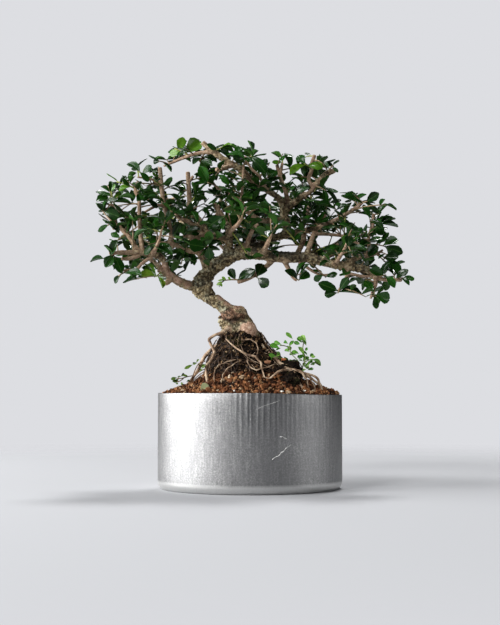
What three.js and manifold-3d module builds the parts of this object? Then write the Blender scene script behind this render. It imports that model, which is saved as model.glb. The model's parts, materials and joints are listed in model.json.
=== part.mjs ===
// A small-leaved fukien tea bonsai in a round aluminium pot, in millimetres, +Z up.
// The origin is the centre of the pot's flat foot. The tree leans over to -X and then sweeps to +X.
import * as THREE from "three";
import { mergeVertices } from "three/addons/utils/BufferGeometryUtils.js";
import Module from "manifold-3d";

const wasm = await Module();
wasm.setup();

// Pot
const POT_RADIUS = 100.7;
const POT_HEIGHT = 104;
const POT_WALL = 2.4;
const POT_FLOOR = 3;
const FOOT_INSET = 6.5;
const FOOT_HEIGHT = 10;
const FOOT_STEPS = 3;
const POT_SIDES = 28;
const RIM_SAG = 2;
const DRAIN_RADIUS = 7;
const DRAIN_RING = 55;
const DRAIN_HOLES = 3;
const DRAIN_SIDES = 6;
const DRAIN_TURN = 0.4;

// Soil and root ball: the soil is a low cone of granules, and the ball of old roots stands out of it
const GAP = 0.35;
const SOIL_PROFILE = [[86, 109], [73, 114], [60, 120.5], [47, 127.5]];
const SOIL_RADIUS = POT_RADIUS - POT_WALL - GAP;
const SOIL_EDGE = 106;
const SOIL_TOP = 131;
const GRANULE_RELIEF = 1.6;
const SOIL_SEED = 77;
const BALL_PROFILE = [[119, 1, 54], [129, 1, 50], [140, -5, 42], [155, -9, 32], [171, -10, 23]];
const BALL_TOP = 177;
const BALL_DEPTH_RATIO = 0.88;
const BALL_SECTORS = 16;
const BALL_RELIEF = 2;
const BALL_SEED = 312;
const BALL_GAP = 1.5 * GAP;

// Wood, twigs and leaves
const BLADE_THICKNESS = 0.7;
const LEAF_LENGTH = [14, 21];
const LEAF_WIDTH_RATIO = 0.52;
const LEAF_FOLD = 0.2;
const LEAF_ARCH = 0.16;
const TWIG_RADII = [1.1, 0.65];
const TWIG_SIDES = 3;
const TWIG_BARE_SHARE = 0.25;
const FORK_SHARE = 0.5;
const BARE_SHARE = 0.3;
const LEAF_OPENING = [0.8, 1.35];
const SPRAY_SEED = 20251;
const LEAF_ROOM = 4.2;
const OWN_LEAF_ROOM = 2.5;
const WOOD_ROOM = 1.6;
const TRIES_PER_LEAF = 14;
const GOLDEN_ANGLE = Math.PI * (3 - Math.sqrt(5));

// Places on the tree are written as seen from the front: across and up as they appear on the upright
// plane through the pot's axis, then how far they lie behind it. A place behind the plane is really
// further out than it appears, and one in front of it is nearer to the line of sight.
const VIEW_DISTANCE = 1410;
const EYE_HEIGHT = 105;

function place([across, up, depth = 0]) {
  const growth = (VIEW_DISTANCE + depth) / VIEW_DISTANCE;
  return new THREE.Vector3(across * growth, depth, EYE_HEIGHT + (up - EYE_HEIGHT) * growth);
}

function seenFromFront(point) {
  const growth = (VIEW_DISTANCE + point.y) / VIEW_DISTANCE;
  return [point.x / growth, EYE_HEIGHT + (point.z - EYE_HEIGHT) / growth];
}

// Each piece of wood is a list of [across, up, depth, radius], from where it grows out to its end.
const TRUNK = [
  [[-11, 150, 4, 15], [-11, 162, 3, 18.5], [-13, 174, 1, 18.6], [-17, 182, -1, 17],
    [-20, 189, -3, 17.4], [-22.5, 194, -3, 11.5], [-24, 198, -3, 5]],
  [[-17, 190, -3, 11], [-25, 195, -3, 8], [-31, 200.5, -2, 7.2], [-40.5, 206.5, 0, 8],
    [-49, 213.5, 2, 9.3], [-54.5, 220, 3, 11.3], [-54, 228, 3, 8.6], [-50, 236, 3, 6.5]],
  [[-12, 181, -8, 7], [-2, 176, -13, 8.6], [3, 169, -12, 6.8], [8, 163, -8, 5]],
  [[-13, 195, -3, 5], [-7, 196.5, -4, 3.2]],
  [[-50, 225, -1, 5.5], [-42, 222, -4, 4.2]],
];
const RIGHT_LIMBS = [
  [[-54, 226, 3, 9.6], [-48, 233, 3, 8.3], [-43, 239, 2, 8], [-33, 247, -1, 8], [-14, 257, -6, 8],
    [8, 258, -12, 7.2], [34, 254, -17, 6.5], [64, 253, -21, 6.1], [92, 246, -24, 5.1],
    [123, 241, -26, 5], [134, 237, -27, 3.8], [143, 230, -28, 2.6], [168, 228, -28, 1.9]],
  [[104, 245, -25, 3.8], [112, 250, -24, 3.6], [121, 254, -22, 3.2], [130, 255, -19, 2.4],
    [141, 258, -16, 1.8], [147, 262, -14, 1.4]],
  [[136, 235, -27, 2.6], [139, 225, -29, 2.2], [136, 217, -30, 1.8], [133, 208, -31, 1.3]],
  [[107, 242, -26, 3.2], [107, 231, -29, 2.8], [102, 222, -31, 2.2], [97, 216, -33, 1.6]],
  [[37, 251, -18, 3.2], [43, 240, -22, 2.6], [48, 231, -25, 2.2], [52, 228, -26, 1.8]],
  [[24, 249, -14, 3.2], [13, 239, -16, 2.8], [3, 233, -18, 2.8], [-5, 229, -19, 2.7],
    [-14, 226, -20, 2.4]],
];
const CENTRE_LIMBS = [
  [[-30, 250, -2, 5.4], [-25, 261, -6, 4.8], [-23, 269, -9, 4.6], [-23, 281, -12, 4.4],
    [-25, 292, -13, 4], [-31, 300, -14, 3.4], [-37, 308, -14, 2.6], [-39, 314, -14, 1.8]],
  [[-23, 272, -10, 3.8], [-31, 275, -12, 3.4], [-41, 278, -14, 3.4], [-50, 280, -15, 3.9],
    [-66, 292, -16, 2.8], [-75, 296, -16, 2.5], [-82, 301, -15, 2]],
  [[-47, 279, -14, 3.6], [-52, 288, -13, 4.2], [-59, 297, -10, 4.4], [-66, 305, -8, 3.8],
    [-67, 317, -6, 3], [-68, 333, -5, 2.8], [-69, 349, -5, 2.6]],
  [[-50, 279, -15, 3.2], [-59, 275, -17, 2.8], [-70, 277, -19, 2.2], [-78, 275, -21, 1.6]],
  [[-5, 260, -8, 4], [-2, 273, -14, 2.6], [4, 286, -20, 2.4], [9, 291, -22, 2]],
];
const UPPER_LIMBS = [
  [[-6, 258, -7, 6], [7, 266, 2, 5], [22, 274, 12, 4.5], [38, 278, 20, 4.6], [55, 282, 26, 4],
    [68, 285, 30, 3.6], [77, 293, 33, 3], [84, 303, 36, 2.2]],
  [[50, 252, -18, 4], [55, 263, -10, 3.2], [59, 272, 2, 3], [60, 282, 24, 2.8]],
  [[62, 255, -20, 4], [67, 269, -14, 3], [70, 278, -6, 2.8], [74, 286, 0, 2.8],
    [86, 291, 0, 2.6], [97, 296, -4, 2.5], [107, 302, -8, 2.4], [118, 309, -12, 2.3],
    [125, 316, -14, 2.2]],
  [[38, 278, 20, 4.6], [41, 289, 16, 5], [38, 301, 12, 5], [33, 318, 6, 3.7], [16, 330, -2, 3.4],
    [0, 341, -8, 3.4], [-11, 352, -12, 4], [-31, 364, -14, 3.8], [-53, 382, -12, 3]],
  [[-20, 356, -14, 3], [-30, 353, -22, 2.6], [-38, 351, -28, 2.4]],
  [[-40, 371, -13, 2.8], [-55, 370, -8, 2.3], [-70, 366, -3, 2.1], [-96, 355, 6, 1.3]],
  [[36, 297, 11, 3.6], [16, 294, -4, 3], [0, 302, -14, 2.8], [-8, 312, -20, 2.4],
    [-9, 327, -22, 1.7], [-8, 341, -23, 1.5], [-7, 357, -24, 1.2]],
  [[-8, 313, -20, 2], [-20, 322, -18, 1.7], [-37, 331, -20, 1.4]],
  [[16, 332, -2, 2], [10, 344, -12, 1.5], [1, 353, -18, 1.3], [-5, 366, -28, 1.1]],
  [[38, 304, 11, 4], [41, 315, 9, 3], [39, 329, 8, 2.6], [35, 338, 7, 2.5], [32, 347, 6, 2.4],
    [30, 357, 5, 2.1]],
  [[39, 306, 11, 4.4], [52, 317, 3, 4], [60, 323, -3, 3.5]],
  [[50, 315, 4, 3.2], [66, 326, 9, 2.6], [70, 331, 10, 2.5], [65, 340, 12, 2.4],
    [68, 350, 11, 2.4], [69, 359, 10, 2.4], [72, 368, 9, 2.2]],
  [[69, 330, 10, 2.6], [76, 338, 12, 3.2], [83, 345, 13, 4], [89, 349, 13, 3.6],
    [95, 350, 13, 2.5]],
  [[129, 254, -19, 2.4], [132, 266, -12, 2], [131, 275, -8, 2], [135, 287, -6, 2.2],
    [137, 302, -5, 1.9]],
  [[70, 280, -5, 2.4], [88, 279, 2, 1.8], [104, 277, 0, 1.7], [112, 273, -2, 1.6],
    [119, 269, -5, 1.4], [126, 266, -7, 1.1]],
];
const LEFT_LIMBS = [
  [[-54, 222, 3, 8], [-66, 222, -2, 5.8], [-77, 226, -8, 5.2], [-88, 233, -14, 4.5],
    [-96, 238, -18, 4], [-102, 240, -20, 3]],
  [[-85, 231, -12, 3.2], [-91, 226, -15, 3.2], [-94, 224, -17, 2.4]],
  [[-92, 236, -17, 4.2], [-94, 248, -22, 3.9], [-101, 255, -27, 3.9], [-116, 258, -34, 3.4],
    [-138, 259, -41, 2.9], [-156, 258, -47, 1.6]],
  [[-122, 256, -36, 2.8], [-134, 252, -38, 2.2], [-142, 252, -40, 1.7]],
  [[-106, 256, -29, 2.4], [-119, 247, -34, 1.8], [-126, 240, -37, 1.8], [-141, 239, -40, 1.3]],
  [[-113, 258, -33, 3], [-125, 263, -34, 2.9], [-134, 277, -33, 2.8], [-152, 294, -31, 2.5],
    [-165, 308, -29, 1.2]],
  [[-150, 291, -31, 2], [-147, 304, -32, 1.6], [-150, 311, -32, 1.5], [-157, 312, -32, 1.3]],
  [[-119, 259, -34, 2.8], [-122, 289, -32, 2.4], [-123, 317, -30, 2.1], [-127, 328, -30, 2.2],
    [-124, 338, -30, 1.7]],
  [[-48, 240, 0, 4.6], [-52, 250, -6, 3.4], [-58, 259, -11, 3], [-66, 260, -15, 2.9],
    [-74, 264, -18, 2.7], [-86, 268, -22, 2.8], [-99, 269, -24, 2.3], [-108, 267, -26, 1.7]],
  [[-87, 262, -22, 1.9], [-87, 268, -22, 2.9], [-88, 286, -22, 2.7], [-96, 316, -22, 2.8],
    [-100, 354, -23, 2.5]],
  [[-98, 335, -23, 1.9], [-105, 338, -25, 1.5], [-110, 341, -27, 1.3], [-125, 343, -30, 1]],
  [[-94, 310, -22, 2.2], [-103, 311, -26, 1.6], [-118, 303, -31, 1.2]],
];
const BACK_LIMBS = [
  [[-50, 234, 5, 6.5], [-44, 245, 18, 5.6], [-52, 257, 32, 5.2], [-62, 268, 44, 4.8],
    [-70, 285, 60, 3.8], [-80, 300, 74, 2.6], [-88, 312, 84, 1.6]],
  [[-10, 258, -3, 6], [0, 268, 18, 4.8], [6, 282, 40, 4], [8, 298, 60, 3.2], [6, 314, 76, 2.2],
    [2, 328, 88, 1.4]],
  [[60, 253, -18, 5], [70, 258, 0, 4.2], [82, 262, 24, 3.6], [92, 266, 46, 3], [100, 272, 66, 2.4],
    [108, 280, 84, 1.5]],
  [[-86, 232, -13, 4.2], [-98, 240, 4, 3.4], [-108, 250, 22, 3], [-120, 262, 40, 2.4],
    [-130, 276, 54, 1.6]],
  [[54, 282, 26, 3.8], [60, 292, 44, 3], [64, 304, 60, 2.4], [66, 318, 72, 1.6]],
  [[1, 270, 20, 4], [-16, 262, 40, 3], [-26, 262, 60, 2.4], [-34, 268, 78, 1.6]],
  [[-62, 268, 42, 4], [-46, 284, 54, 3], [-36, 302, 62, 2.4], [-32, 322, 66, 1.6]],
];
const FRONT_LIMBS = [
  [[13, 258, -14, 4.2], [16, 262, -32, 3.2], [20, 270, -50, 2.6], [24, 280, -66, 1.6]],
  [[-23, 281, -12, 3.6], [-20, 284, -30, 2.8], [-14, 290, -48, 2.2], [-8, 298, -62, 1.5]],
  [[94, 246, -24, 3.6], [98, 252, -42, 2.4], [104, 262, -58, 1.8], [108, 272, -70, 1.3]],
  [[-108, 257, -30, 3.2], [-104, 264, -46, 2.2], [-100, 274, -60, 1.6], [-98, 284, -70, 1.2]],
];
const ROOTS = [
  [[-17, 179, -10, 3], [-31, 170, -18, 2.4], [-45, 164, -16, 2.1], [-43, 157, -18, 2],
    [-40, 149, -24, 1.9], [-41, 143, -28, 2], [-48, 134, -32, 2.2], [-48, 127, -38, 2],
    [-46, 112, -46, 1.7]],
  [[-18, 170, -12, 3], [-15, 153, -33, 1.9], [-2, 147, -39, 1.9], [9, 142, -41, 1.8],
    [14, 137, -43, 1.7], [13, 127, -49, 1.5], [17, 119, -54, 1.5]],
  [[-13, 153, -33, 1.6], [-20, 135, -42, 1.4], [-27, 128, -47, 1.4], [-32, 117, -54, 1.4]],
  [[-15, 155, -31, 1.6], [-18, 145, -36, 1.5], [-31, 137, -39, 1.3], [-37, 130, -43, 1.2],
    [-38, 116, -52, 1.2]],
  [[-12, 166, -14, 2], [2, 163, -27, 1.2], [8, 158, -28, 1.2], [8, 147, -36, 1.2],
    [7, 141, -41, 1.4]],
  [[-4, 147, -37, 1.4], [2, 131, -46, 1.2], [13, 129, -49, 1.3], [24, 131, -47, 1.2],
    [30, 122, -52, 1.2]],
  [[16, 120, -54, 1.6], [27, 124, -55, 1.5], [33, 128, -52, 1.8], [41, 131, -46, 2.2],
    [46, 131, -42, 2.2], [51, 124, -46, 1.8], [58, 108, -54, 1.5]],
  [[5, 163, -6, 4], [24, 149, -16, 3], [40, 136, -26, 2.4], [62, 123, -36, 1.6],
    [69, 109, -40, 1.4]],
  [[6, 162, 0, 4], [30, 147, -2, 3], [50, 133, -10, 2.2], [68, 124, -18, 1.6],
    [80, 106, -20, 1.4]],
  [[-24, 166, 6, 4], [-44, 150, 8, 2.2], [-54, 136, 12, 1.9], [-62, 122, 16, 1.7],
    [-69, 106, 20, 1.4]],
  [[-14, 166, 12, 4], [-24, 154, 28, 2.4], [-31, 142, 36, 2], [-36, 128, 44, 1.8],
    [-42, 108, 54, 1.5]],
  [[-2, 164, 12, 4], [14, 152, 28, 2.4], [22, 140, 36, 2], [34, 126, 44, 1.7],
    [44, 108, 52, 1.5]],
];

// The outline that the crown keeps within as seen from the front, as [across, up].
const CROWN_OUTLINE = [
  [-177, 252], [-165, 263], [-155, 272], [-155, 282], [-169, 283], [-170, 311], [-170, 329],
  [-158, 335], [-145, 343], [-135, 360], [-112, 369], [-91, 371], [-80, 386], [-56, 386],
  [-42, 380], [-22, 378], [-4, 376], [11, 371], [24, 371], [55, 371], [75, 370], [97, 361],
  [101, 341], [104, 326], [143, 326], [162, 311], [163, 289], [154, 280], [167, 273],
  [169, 256], [181, 233], [176, 224], [156, 220], [152, 204], [136, 200], [125, 215],
  [82, 208], [76, 225], [55, 227], [40, 234], [34, 246], [13, 250], [-11, 252], [-31, 246],
  [-42, 240], [-55, 231], [-75, 232], [-99, 226], [-112, 232], [-139, 224], [-152, 226],
  [-161, 242], [-177, 248],
];

// Openings that the light shows through, as [across, up, radius] seen from the front.
const LIGHT_GAPS = [
  [-53, 299, 5], [-31, 282, 3], [-64, 275, 3], [-55, 243, 5], [-30, 258, 4], [-46, 253, 3],
  [42, 265, 8], [33, 280, 4], [56, 261, 4], [100, 253, 4], [45, 245, 5], [-88, 328, 6],
  [-110, 308, 7], [-137, 312, 7], [-115, 336, 5], [-104, 278, 5], [-129, 286, 4], [-143, 264, 5],
  [-138, 246, 3], [-107, 248, 3], [-55, 310, 4], [-31, 318, 4], [-15, 337, 4], [16, 341, 4],
  [20, 317, 4], [-71, 335, 4], [-81, 349, 9], [-66, 353, 6], [55, 335, 4], [69, 325, 4],
  [44, 352, 6], [93, 338, 5], [88, 327, 6], [115, 297, 7], [123, 295, 8], [104, 282, 4],
  [93, 275, 8], [82, 272, 8], [143, 247, 6], [115, 238, 4], [93, 231, 6], [-120, 352, 5],
];

// Leafy sprays. Each has the place on the wood that its twig grows from, the place of its tip, the
// leaves that stand out in its outline as [from across, from up, tip across, tip up, width ratio as
// seen from the front], and how many more leaves fill it out.
const SPRAYS = {
  left_point: { from: [-146, 258, -44], to: [-161, 252, -50], fill: 1,
    leaves: [[-161, 253, -177, 251, 0.25], [-148, 254, -160, 243, 0.6], [-147, 250, -140, 240, 0.4],
      [-156, 259, -147, 271, 0.5]] },
  left_low: { from: [-133, 239, -38], to: [-145, 233, -50], fill: 0,
    leaves: [[-141, 239, -150, 225, 0.45], [-134, 239, -120, 234, 0.4], [-140, 240, -150, 248, 0.4]] },
  left_light: { from: [-96, 238, -18], to: [-104, 232, -26], fill: 0,
    leaves: [[-101, 232, -115, 245, 0.6], [-99, 232, -96, 220, 0.25], [-103, 232, -122, 236, 0.4]] },
  left_bend: { from: [-152, 294, -31], to: [-157, 289, -38], fill: 1,
    leaves: [[-155, 292, -169, 283, 0.45], [-154, 291, -145, 281, 0.4]] },
  left_fork: { from: [-137, 279, -33], to: [-147, 272, -40], fill: 1,
    leaves: [[-143, 278, -154, 281, 0.5], [-145, 274, -154, 268, 0.5], [-140, 275, -133, 263, 0.4]] },
  left_shoulder: { from: [-158, 299, -30], to: [-164, 307, -34], fill: 1,
    leaves: [[-162, 303, -170, 313, 0.4], [-161, 306, -145, 299, 0.6]] },
  left_shoot: { from: [-150, 311, -32], to: [-154, 327, -34], fill: 0,
    leaves: [[-154, 316, -170, 317, 0.25], [-154, 321, -169, 328, 0.35], [-151, 321, -141, 323, 0.5],
      [-154, 326, -150, 335, 0.3], [-150, 314, -131, 316, 0.25]] },
  upright_one_top: { from: [-127, 330, -30], to: [-148, 338, -34], fill: 0,
    leaves: [[-132, 331, -146, 329, 0.45], [-128, 332, -141, 341, 0.4], [-146, 338, -158, 348, 0.15]] },
  upright_one: { from: [-123, 317, -30], to: [-112, 318, -40], fill: 2,
    leaves: [[-121, 316, -101, 312, 0.35], [-120, 319, -103, 322, 0.3]] },
  upright_one_low: { from: [-122, 295, -32], to: [-138, 298, -48], fill: 4, leaves: [] },
  upright_two_top: { from: [-110, 341, -27], to: [-124, 349, -32], fill: 0,
    leaves: [[-121, 347, -136, 360, 0.4], [-120, 346, -110, 356, 0.5], [-124, 346, -112, 341, 0.4]] },
  arch_tip: { from: [-90, 357, 5], to: [-101, 361, -6], fill: 0,
    leaves: [[-99, 354, -108, 360, 0.6], [-99, 358, -112, 368, 0.2], [-93, 358, -87, 349, 0.3]] },
  arch_top: { from: [-68, 367, -3], to: [-84, 375, -4], fill: 0,
    leaves: [[-72, 370, -55, 385, 0.7], [-79, 373, -75, 387, 0.7], [-78, 370, -90, 369, 0.6]] },
  apex: { from: [-40, 371, -13], to: [-30, 377, -14], fill: 1,
    leaves: [[-37, 372, -44, 380, 0.4], [-32, 375, -20, 379, 0.3], [-36, 372, -20, 365, 0.4]] },
  apex_under: { from: [-50, 370, -9], to: [-56, 360, -14], fill: 2,
    leaves: [[-52, 366, -64, 358, 0.45], [-54, 362, -42, 356, 0.5]] },
  top_middle: { from: [-8, 355, -24], to: [4, 372, -30], fill: 1,
    leaves: [[-6, 362, -24, 371, 0.3], [-8, 358, -18, 366, 0.5], [0, 367, 14, 361, 0.3],
      [2, 363, 18, 354, 0.4], [4, 371, -2, 384, 0.2]] },
  top_front: { from: [-30, 353, -22], to: [-38, 345, -40], fill: 3, leaves: [] },
  ridge: { from: [12, 333, -4], to: [22, 346, -14], fill: 2,
    leaves: [[16, 339, 30, 352, 0.5]] },
  stub_tip: { from: [35, 353, 5], to: [37, 366, 4], fill: 0,
    leaves: [[36, 362, 24, 371, 0.25], [36, 360, 25, 360, 0.45], [37, 357, 48, 355, 0.3]] },
  stub_side: { from: [34, 340, 7], to: [26, 344, -6], fill: 2,
    leaves: [[28, 343, 12, 350, 0.5]] },
  tall_stub: { from: [68, 352, 11], to: [60, 358, 2], fill: 0,
    leaves: [[62, 357, 53, 369, 0.7], [64, 354, 44, 348, 0.35], [66, 352, 80, 357, 0.5]] },
  wedge: { from: [84, 346, 13], to: [92, 356, 10], fill: 0,
    leaves: [[88, 352, 78, 360, 0.4], [90, 354, 98, 351, 0.3], [92, 356, 98, 363, 0.3]] },
  wedge_under: { from: [72, 333, 10], to: [84, 328, 2], fill: 1,
    leaves: [[76, 332, 98, 328, 0.25], [78, 330, 84, 316, 0.4], [82, 329, 102, 315, 0.25]] },
  high_cut: { from: [121, 312, -13], to: [130, 316, -20], fill: 1,
    leaves: [[122, 314, 103, 322, 0.4], [127, 316, 143, 325, 0.6], [126, 313, 144, 304, 0.35]] },
  high_shoot: { from: [111, 305, -9], to: [150, 312, -40], fill: 0,
    leaves: [[150, 312, 163, 308, 0.25], [140, 311, 148, 318, 0.3]] },
  right_upright: { from: [136, 291, -6], to: [144, 291, -10], fill: 1,
    leaves: [[142, 291, 161, 297, 0.3], [144, 290, 164, 288, 0.25], [140, 291, 142, 305, 0.45],
      [139, 289, 146, 279, 0.6]] },
  right_mid: { from: [132, 268, -11], to: [148, 266, -16], fill: 1,
    leaves: [[146, 266, 164, 275, 0.5], [147, 264, 169, 259, 0.5], [138, 270, 154, 275, 0.3],
      [140, 266, 132, 257, 0.5]] },
  right_fork: { from: [140, 258, -16], to: [150, 252, -24], fill: 0,
    leaves: [[146, 255, 164, 254, 0.6], [149, 252, 167, 234, 0.4]] },
  right_tip: { from: [156, 228, -28], to: [169, 231, -32], fill: 0,
    leaves: [[168, 231, 182, 231, 0.4], [166, 230, 176, 224, 0.4], [160, 230, 172, 241, 0.4]] },
  right_end: { from: [142, 231, -28], to: [150, 234, -40], fill: 1,
    leaves: [[144, 233, 132, 240, 0.5], [148, 233, 160, 221, 0.5]] },
  right_hanging: { from: [137, 219, -30], to: [137, 211, -38], fill: 0,
    leaves: [[137, 214, 155, 207, 0.7], [138, 211, 140, 197, 0.45], [137, 217, 127, 229, 0.5]] },
  under_limb: { from: [100, 220, -32], to: [97, 214, -38], fill: 0,
    leaves: [[98, 216, 124, 216, 0.35], [98, 217, 78, 226, 0.5], [97, 215, 82, 212, 0.55],
      [100, 219, 108, 231, 0.5]] },
  under_limb_left: { from: [49, 230, -25], to: [54, 228, -32], fill: 0,
    leaves: [[53, 229, 64, 238, 0.8], [51, 230, 40, 240, 0.4]] },
  under_twig: { from: [60, 252, -22], to: [84, 231, -18], fill: 0,
    leaves: [[80, 233, 70, 228, 0.6], [83, 232, 96, 236, 0.45], [80, 234, 70, 243, 0.4]] },
  hanging_left: { from: [-8, 228, -19], to: [-28, 228, -26], fill: 0,
    leaves: [[-14, 229, -23, 241, 0.6], [-12, 229, 2, 241, 0.45], [-27, 228, -36, 223, 0.25]] },
  hanging_right: { from: [4, 233, -18], to: [8, 231, -26], fill: 0,
    leaves: [[6, 232, 15, 248, 0.75], [8, 231, 20, 222, 0.75]] },
  star_left: { from: [-76, 297, -16], to: [-88, 305, -38], fill: 4, leaves: [] },
  star_front: { from: [-52, 282, -15], to: [-58, 292, -44], fill: 4, leaves: [] },
  centre_front: { from: [-26, 294, -13], to: [-28, 300, -38], fill: 2,
    leaves: [[-31, 297, -9, 291, 0.6], [-27, 298, -47, 288, 0.65]] },
  centre_low: { from: [-58, 259, -11], to: [-46, 266, -34], fill: 1,
    leaves: [[-42, 268, -44, 251, 0.7], [-54, 262, -67, 268, 0.7], [-50, 264, -36, 272, 0.4]] },
  left_inner: { from: [-99, 269, -24], to: [-112, 268, -46], fill: 2,
    leaves: [[-120, 262, -102, 277, 0.65], [-104, 268, -86, 257, 0.4]] },
  left_under: { from: [-72, 263, -17], to: [-76, 246, -34], fill: 4, leaves: [] },
  centre_high: { from: [-34, 330, -20], to: [-47, 337, -35], fill: 2,
    leaves: [[-38, 332, -64, 340, 0.35], [-44, 339, -56, 355, 0.55]] },
  centre: { from: [-9, 322, -21], to: [-18, 328, -46], fill: 4, leaves: [] },
  front_centre: { from: [-10, 295, -58], to: [-6, 306, -78], fill: 4, leaves: [] },
  front_right: { from: [22, 276, -60], to: [30, 290, -82], fill: 4, leaves: [] },
  front_far_right: { from: [107, 270, -67], to: [112, 284, -84], fill: 4, leaves: [] },
  front_left: { from: [-98, 282, -68], to: [-94, 294, -84], fill: 4, leaves: [] },
  back_left: { from: [-86, 309, 81], to: [-96, 326, 96], fill: 5, leaves: [] },
  back_centre: { from: [3, 324, 85], to: [-2, 342, 98], fill: 5, leaves: [] },
  back_right: { from: [106, 278, 80], to: [116, 292, 98], fill: 5, leaves: [] },
  back_far_left: { from: [-128, 273, 51], to: [-140, 288, 66], fill: 5, leaves: [] },
  back_high_right: { from: [66, 315, 70], to: [70, 334, 84], fill: 5, leaves: [] },
};

// Second shoots that fork from the middle of a spray's twig: whose twig, the place of its tip, and how
// many leaves fill it out.
const FORKS = [
  { spray: "back_left", to: [-60, 322, 64], fill: 5 },
  { spray: "back_centre", to: [-24, 328, 74], fill: 4 },
  { spray: "back_centre", to: [12, 346, 62], fill: 4 },
  { spray: "back_right", to: [92, 296, 74], fill: 4 },
  { spray: "back_far_left", to: [-112, 294, 38], fill: 5 },
  { spray: "back_high_right", to: [42, 326, 70], fill: 4 },
  { spray: "stub_side", to: [18, 332, 30], fill: 4 },
  { spray: "apex_under", to: [-40, 346, 28], fill: 4 },
];

// Self-sown seedlings: stems as [across, up, depth] from where they root, and leaves as for the sprays.
const SEEDLINGS = {
  left: {
    stems: [
      [[-64, 108, -30], [-64, 120, -30], [-60, 131, -30], [-55, 138, -30]],
      [[-64, 114, -30], [-58, 125, -34], [-50, 131, -38]],
      [[-64, 116, -30], [-74, 120, -30], [-80, 121, -30]],
    ],
    leaves: [[-61, 129, -73, 132, 0.35], [-57, 136, -65, 135, 0.5], [-56, 137, -55, 144, 0.45],
      [-51, 130, -46, 136, 0.5], [-79, 121, -88, 120, 0.5], [-77, 121, -70, 126, 0.5],
      [-72, 119, -82, 114, 0.5]],
  },
  right: {
    stems: [
      [[44, 118, -20], [44, 132, -22], [47, 146, -26], [52, 160, -30]],
      [[44, 125, -21], [36, 140, -28], [30, 152, -32]],
      [[44, 128, -21], [56, 136, -24], [66, 138, -26]],
      [[46, 143, -25], [55, 146, -22], [60, 152, -20]],
      [[45, 135, -23], [38, 150, -24], [40, 163, -24]],
    ],
    leaves: [[52, 160, 62, 167, 0.6], [40, 163, 44, 171, 0.5], [40, 163, 33, 168, 0.6],
      [30, 152, 19, 157, 0.7], [36, 140, 22, 141, 0.5], [47, 146, 40, 154, 0.5],
      [60, 152, 62, 161, 0.6], [60, 152, 70, 149, 0.5], [66, 138, 79, 136, 0.55],
      [56, 136, 70, 128, 0.45]],
  },
};
const SEEDLING_STEM_RADIUS = 0.75;
const SEEDLING_STEM_SIDES = 3;
const SEEDLING_LEAF_LEAN = 3;

// A pale fallen leaf on the front of the soil, given as a leaf of the sprays is.
const FALLEN_LEAF = { foot: [-55, 108, -62], tip: [-45, 117, -54], widthRatio: 0.75 };
const FALLEN_LEAF_ROOM = 2;

// Random numbers that come out the same on every run.
function seededNumbers(seed) {
  let state = seed;
  return (low, high) => {
    state = (state * 1664525 + 1013904223) % 4294967296;
    return low + ((high - low) * state) / 4294967296;
  };
}

function geometryFrom(points, faces) {
  const geometry = new THREE.BufferGeometry();
  const numbers = points.flatMap((point) => [point.x, point.y, point.z]);
  geometry.setAttribute("position", new THREE.Float32BufferAttribute(numbers, 3));
  geometry.setIndex(faces);
  return geometry;
}

function solidOf(geometry) {
  const bare = geometry.clone();
  bare.deleteAttribute("normal");
  bare.deleteAttribute("uv");
  const merged = mergeVertices(bare, 1e-4);
  return new wasm.Manifold(new wasm.Mesh({
    numProp: 3,
    vertProperties: merged.attributes.position.array,
    triVerts: new Uint32Array(merged.index.array),
  }));
}

function meshOf(name, solid, material) {
  const { vertProperties, triVerts } = solid.getMesh();
  const geometry = new THREE.BufferGeometry();
  geometry.setAttribute("position", new THREE.BufferAttribute(vertProperties, 3));
  geometry.setIndex(new THREE.BufferAttribute(triVerts, 1));
  const mesh = new THREE.Mesh(geometry, material);
  mesh.name = name;
  return mesh;
}

// Solids are joined in pairs, then pairs of pairs, so that each join is a small one.
function joined(solids) {
  let level = solids;
  while (level.length > 1) {
    const next = [];
    for (let i = 0; i < level.length; i += 2) {
      next.push(i + 1 < level.length ? level[i].add(level[i + 1]) : level[i]);
    }
    level = next;
  }
  return level[0];
}

function largestBody(solid) {
  const bodies = solid.decompose();
  return bodies.reduce((best, body) => (body.volume() > best.volume() ? body : best));
}

// A closed tube through places, with a radius at each.
function tube(points, radii, sides) {
  const vertices = [];
  const faces = [];
  const last = points.length - 1;
  let side = new THREE.Vector3(0, 1, 0);
  points.forEach((point, i) => {
    const ahead = points[Math.min(i + 1, last)].clone().sub(points[Math.max(i - 1, 0)]).normalize();
    side = side.clone().addScaledVector(ahead, -side.dot(ahead));
    if (side.length() < 0.2) {
      side = new THREE.Vector3(1, 0, 0).addScaledVector(ahead, -ahead.x);
    }
    side.normalize();
    const other = ahead.clone().cross(side);
    for (let j = 0; j < sides; j += 1) {
      const turn = (2 * Math.PI * j) / sides;
      vertices.push(point.clone()
        .addScaledVector(side, radii[i] * Math.cos(turn))
        .addScaledVector(other, radii[i] * Math.sin(turn)));
    }
  });
  for (let i = 0; i < last; i += 1) {
    for (let j = 0; j < sides; j += 1) {
      const a = i * sides + j;
      const b = i * sides + ((j + 1) % sides);
      faces.push(a, b, a + sides, b, b + sides, a + sides);
    }
  }
  for (let j = 1; j < sides - 1; j += 1) {
    faces.push(0, j + 1, j);
    faces.push(last * sides, last * sides + j, last * sides + j + 1);
  }
  return geometryFrom(vertices, faces);
}

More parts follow.
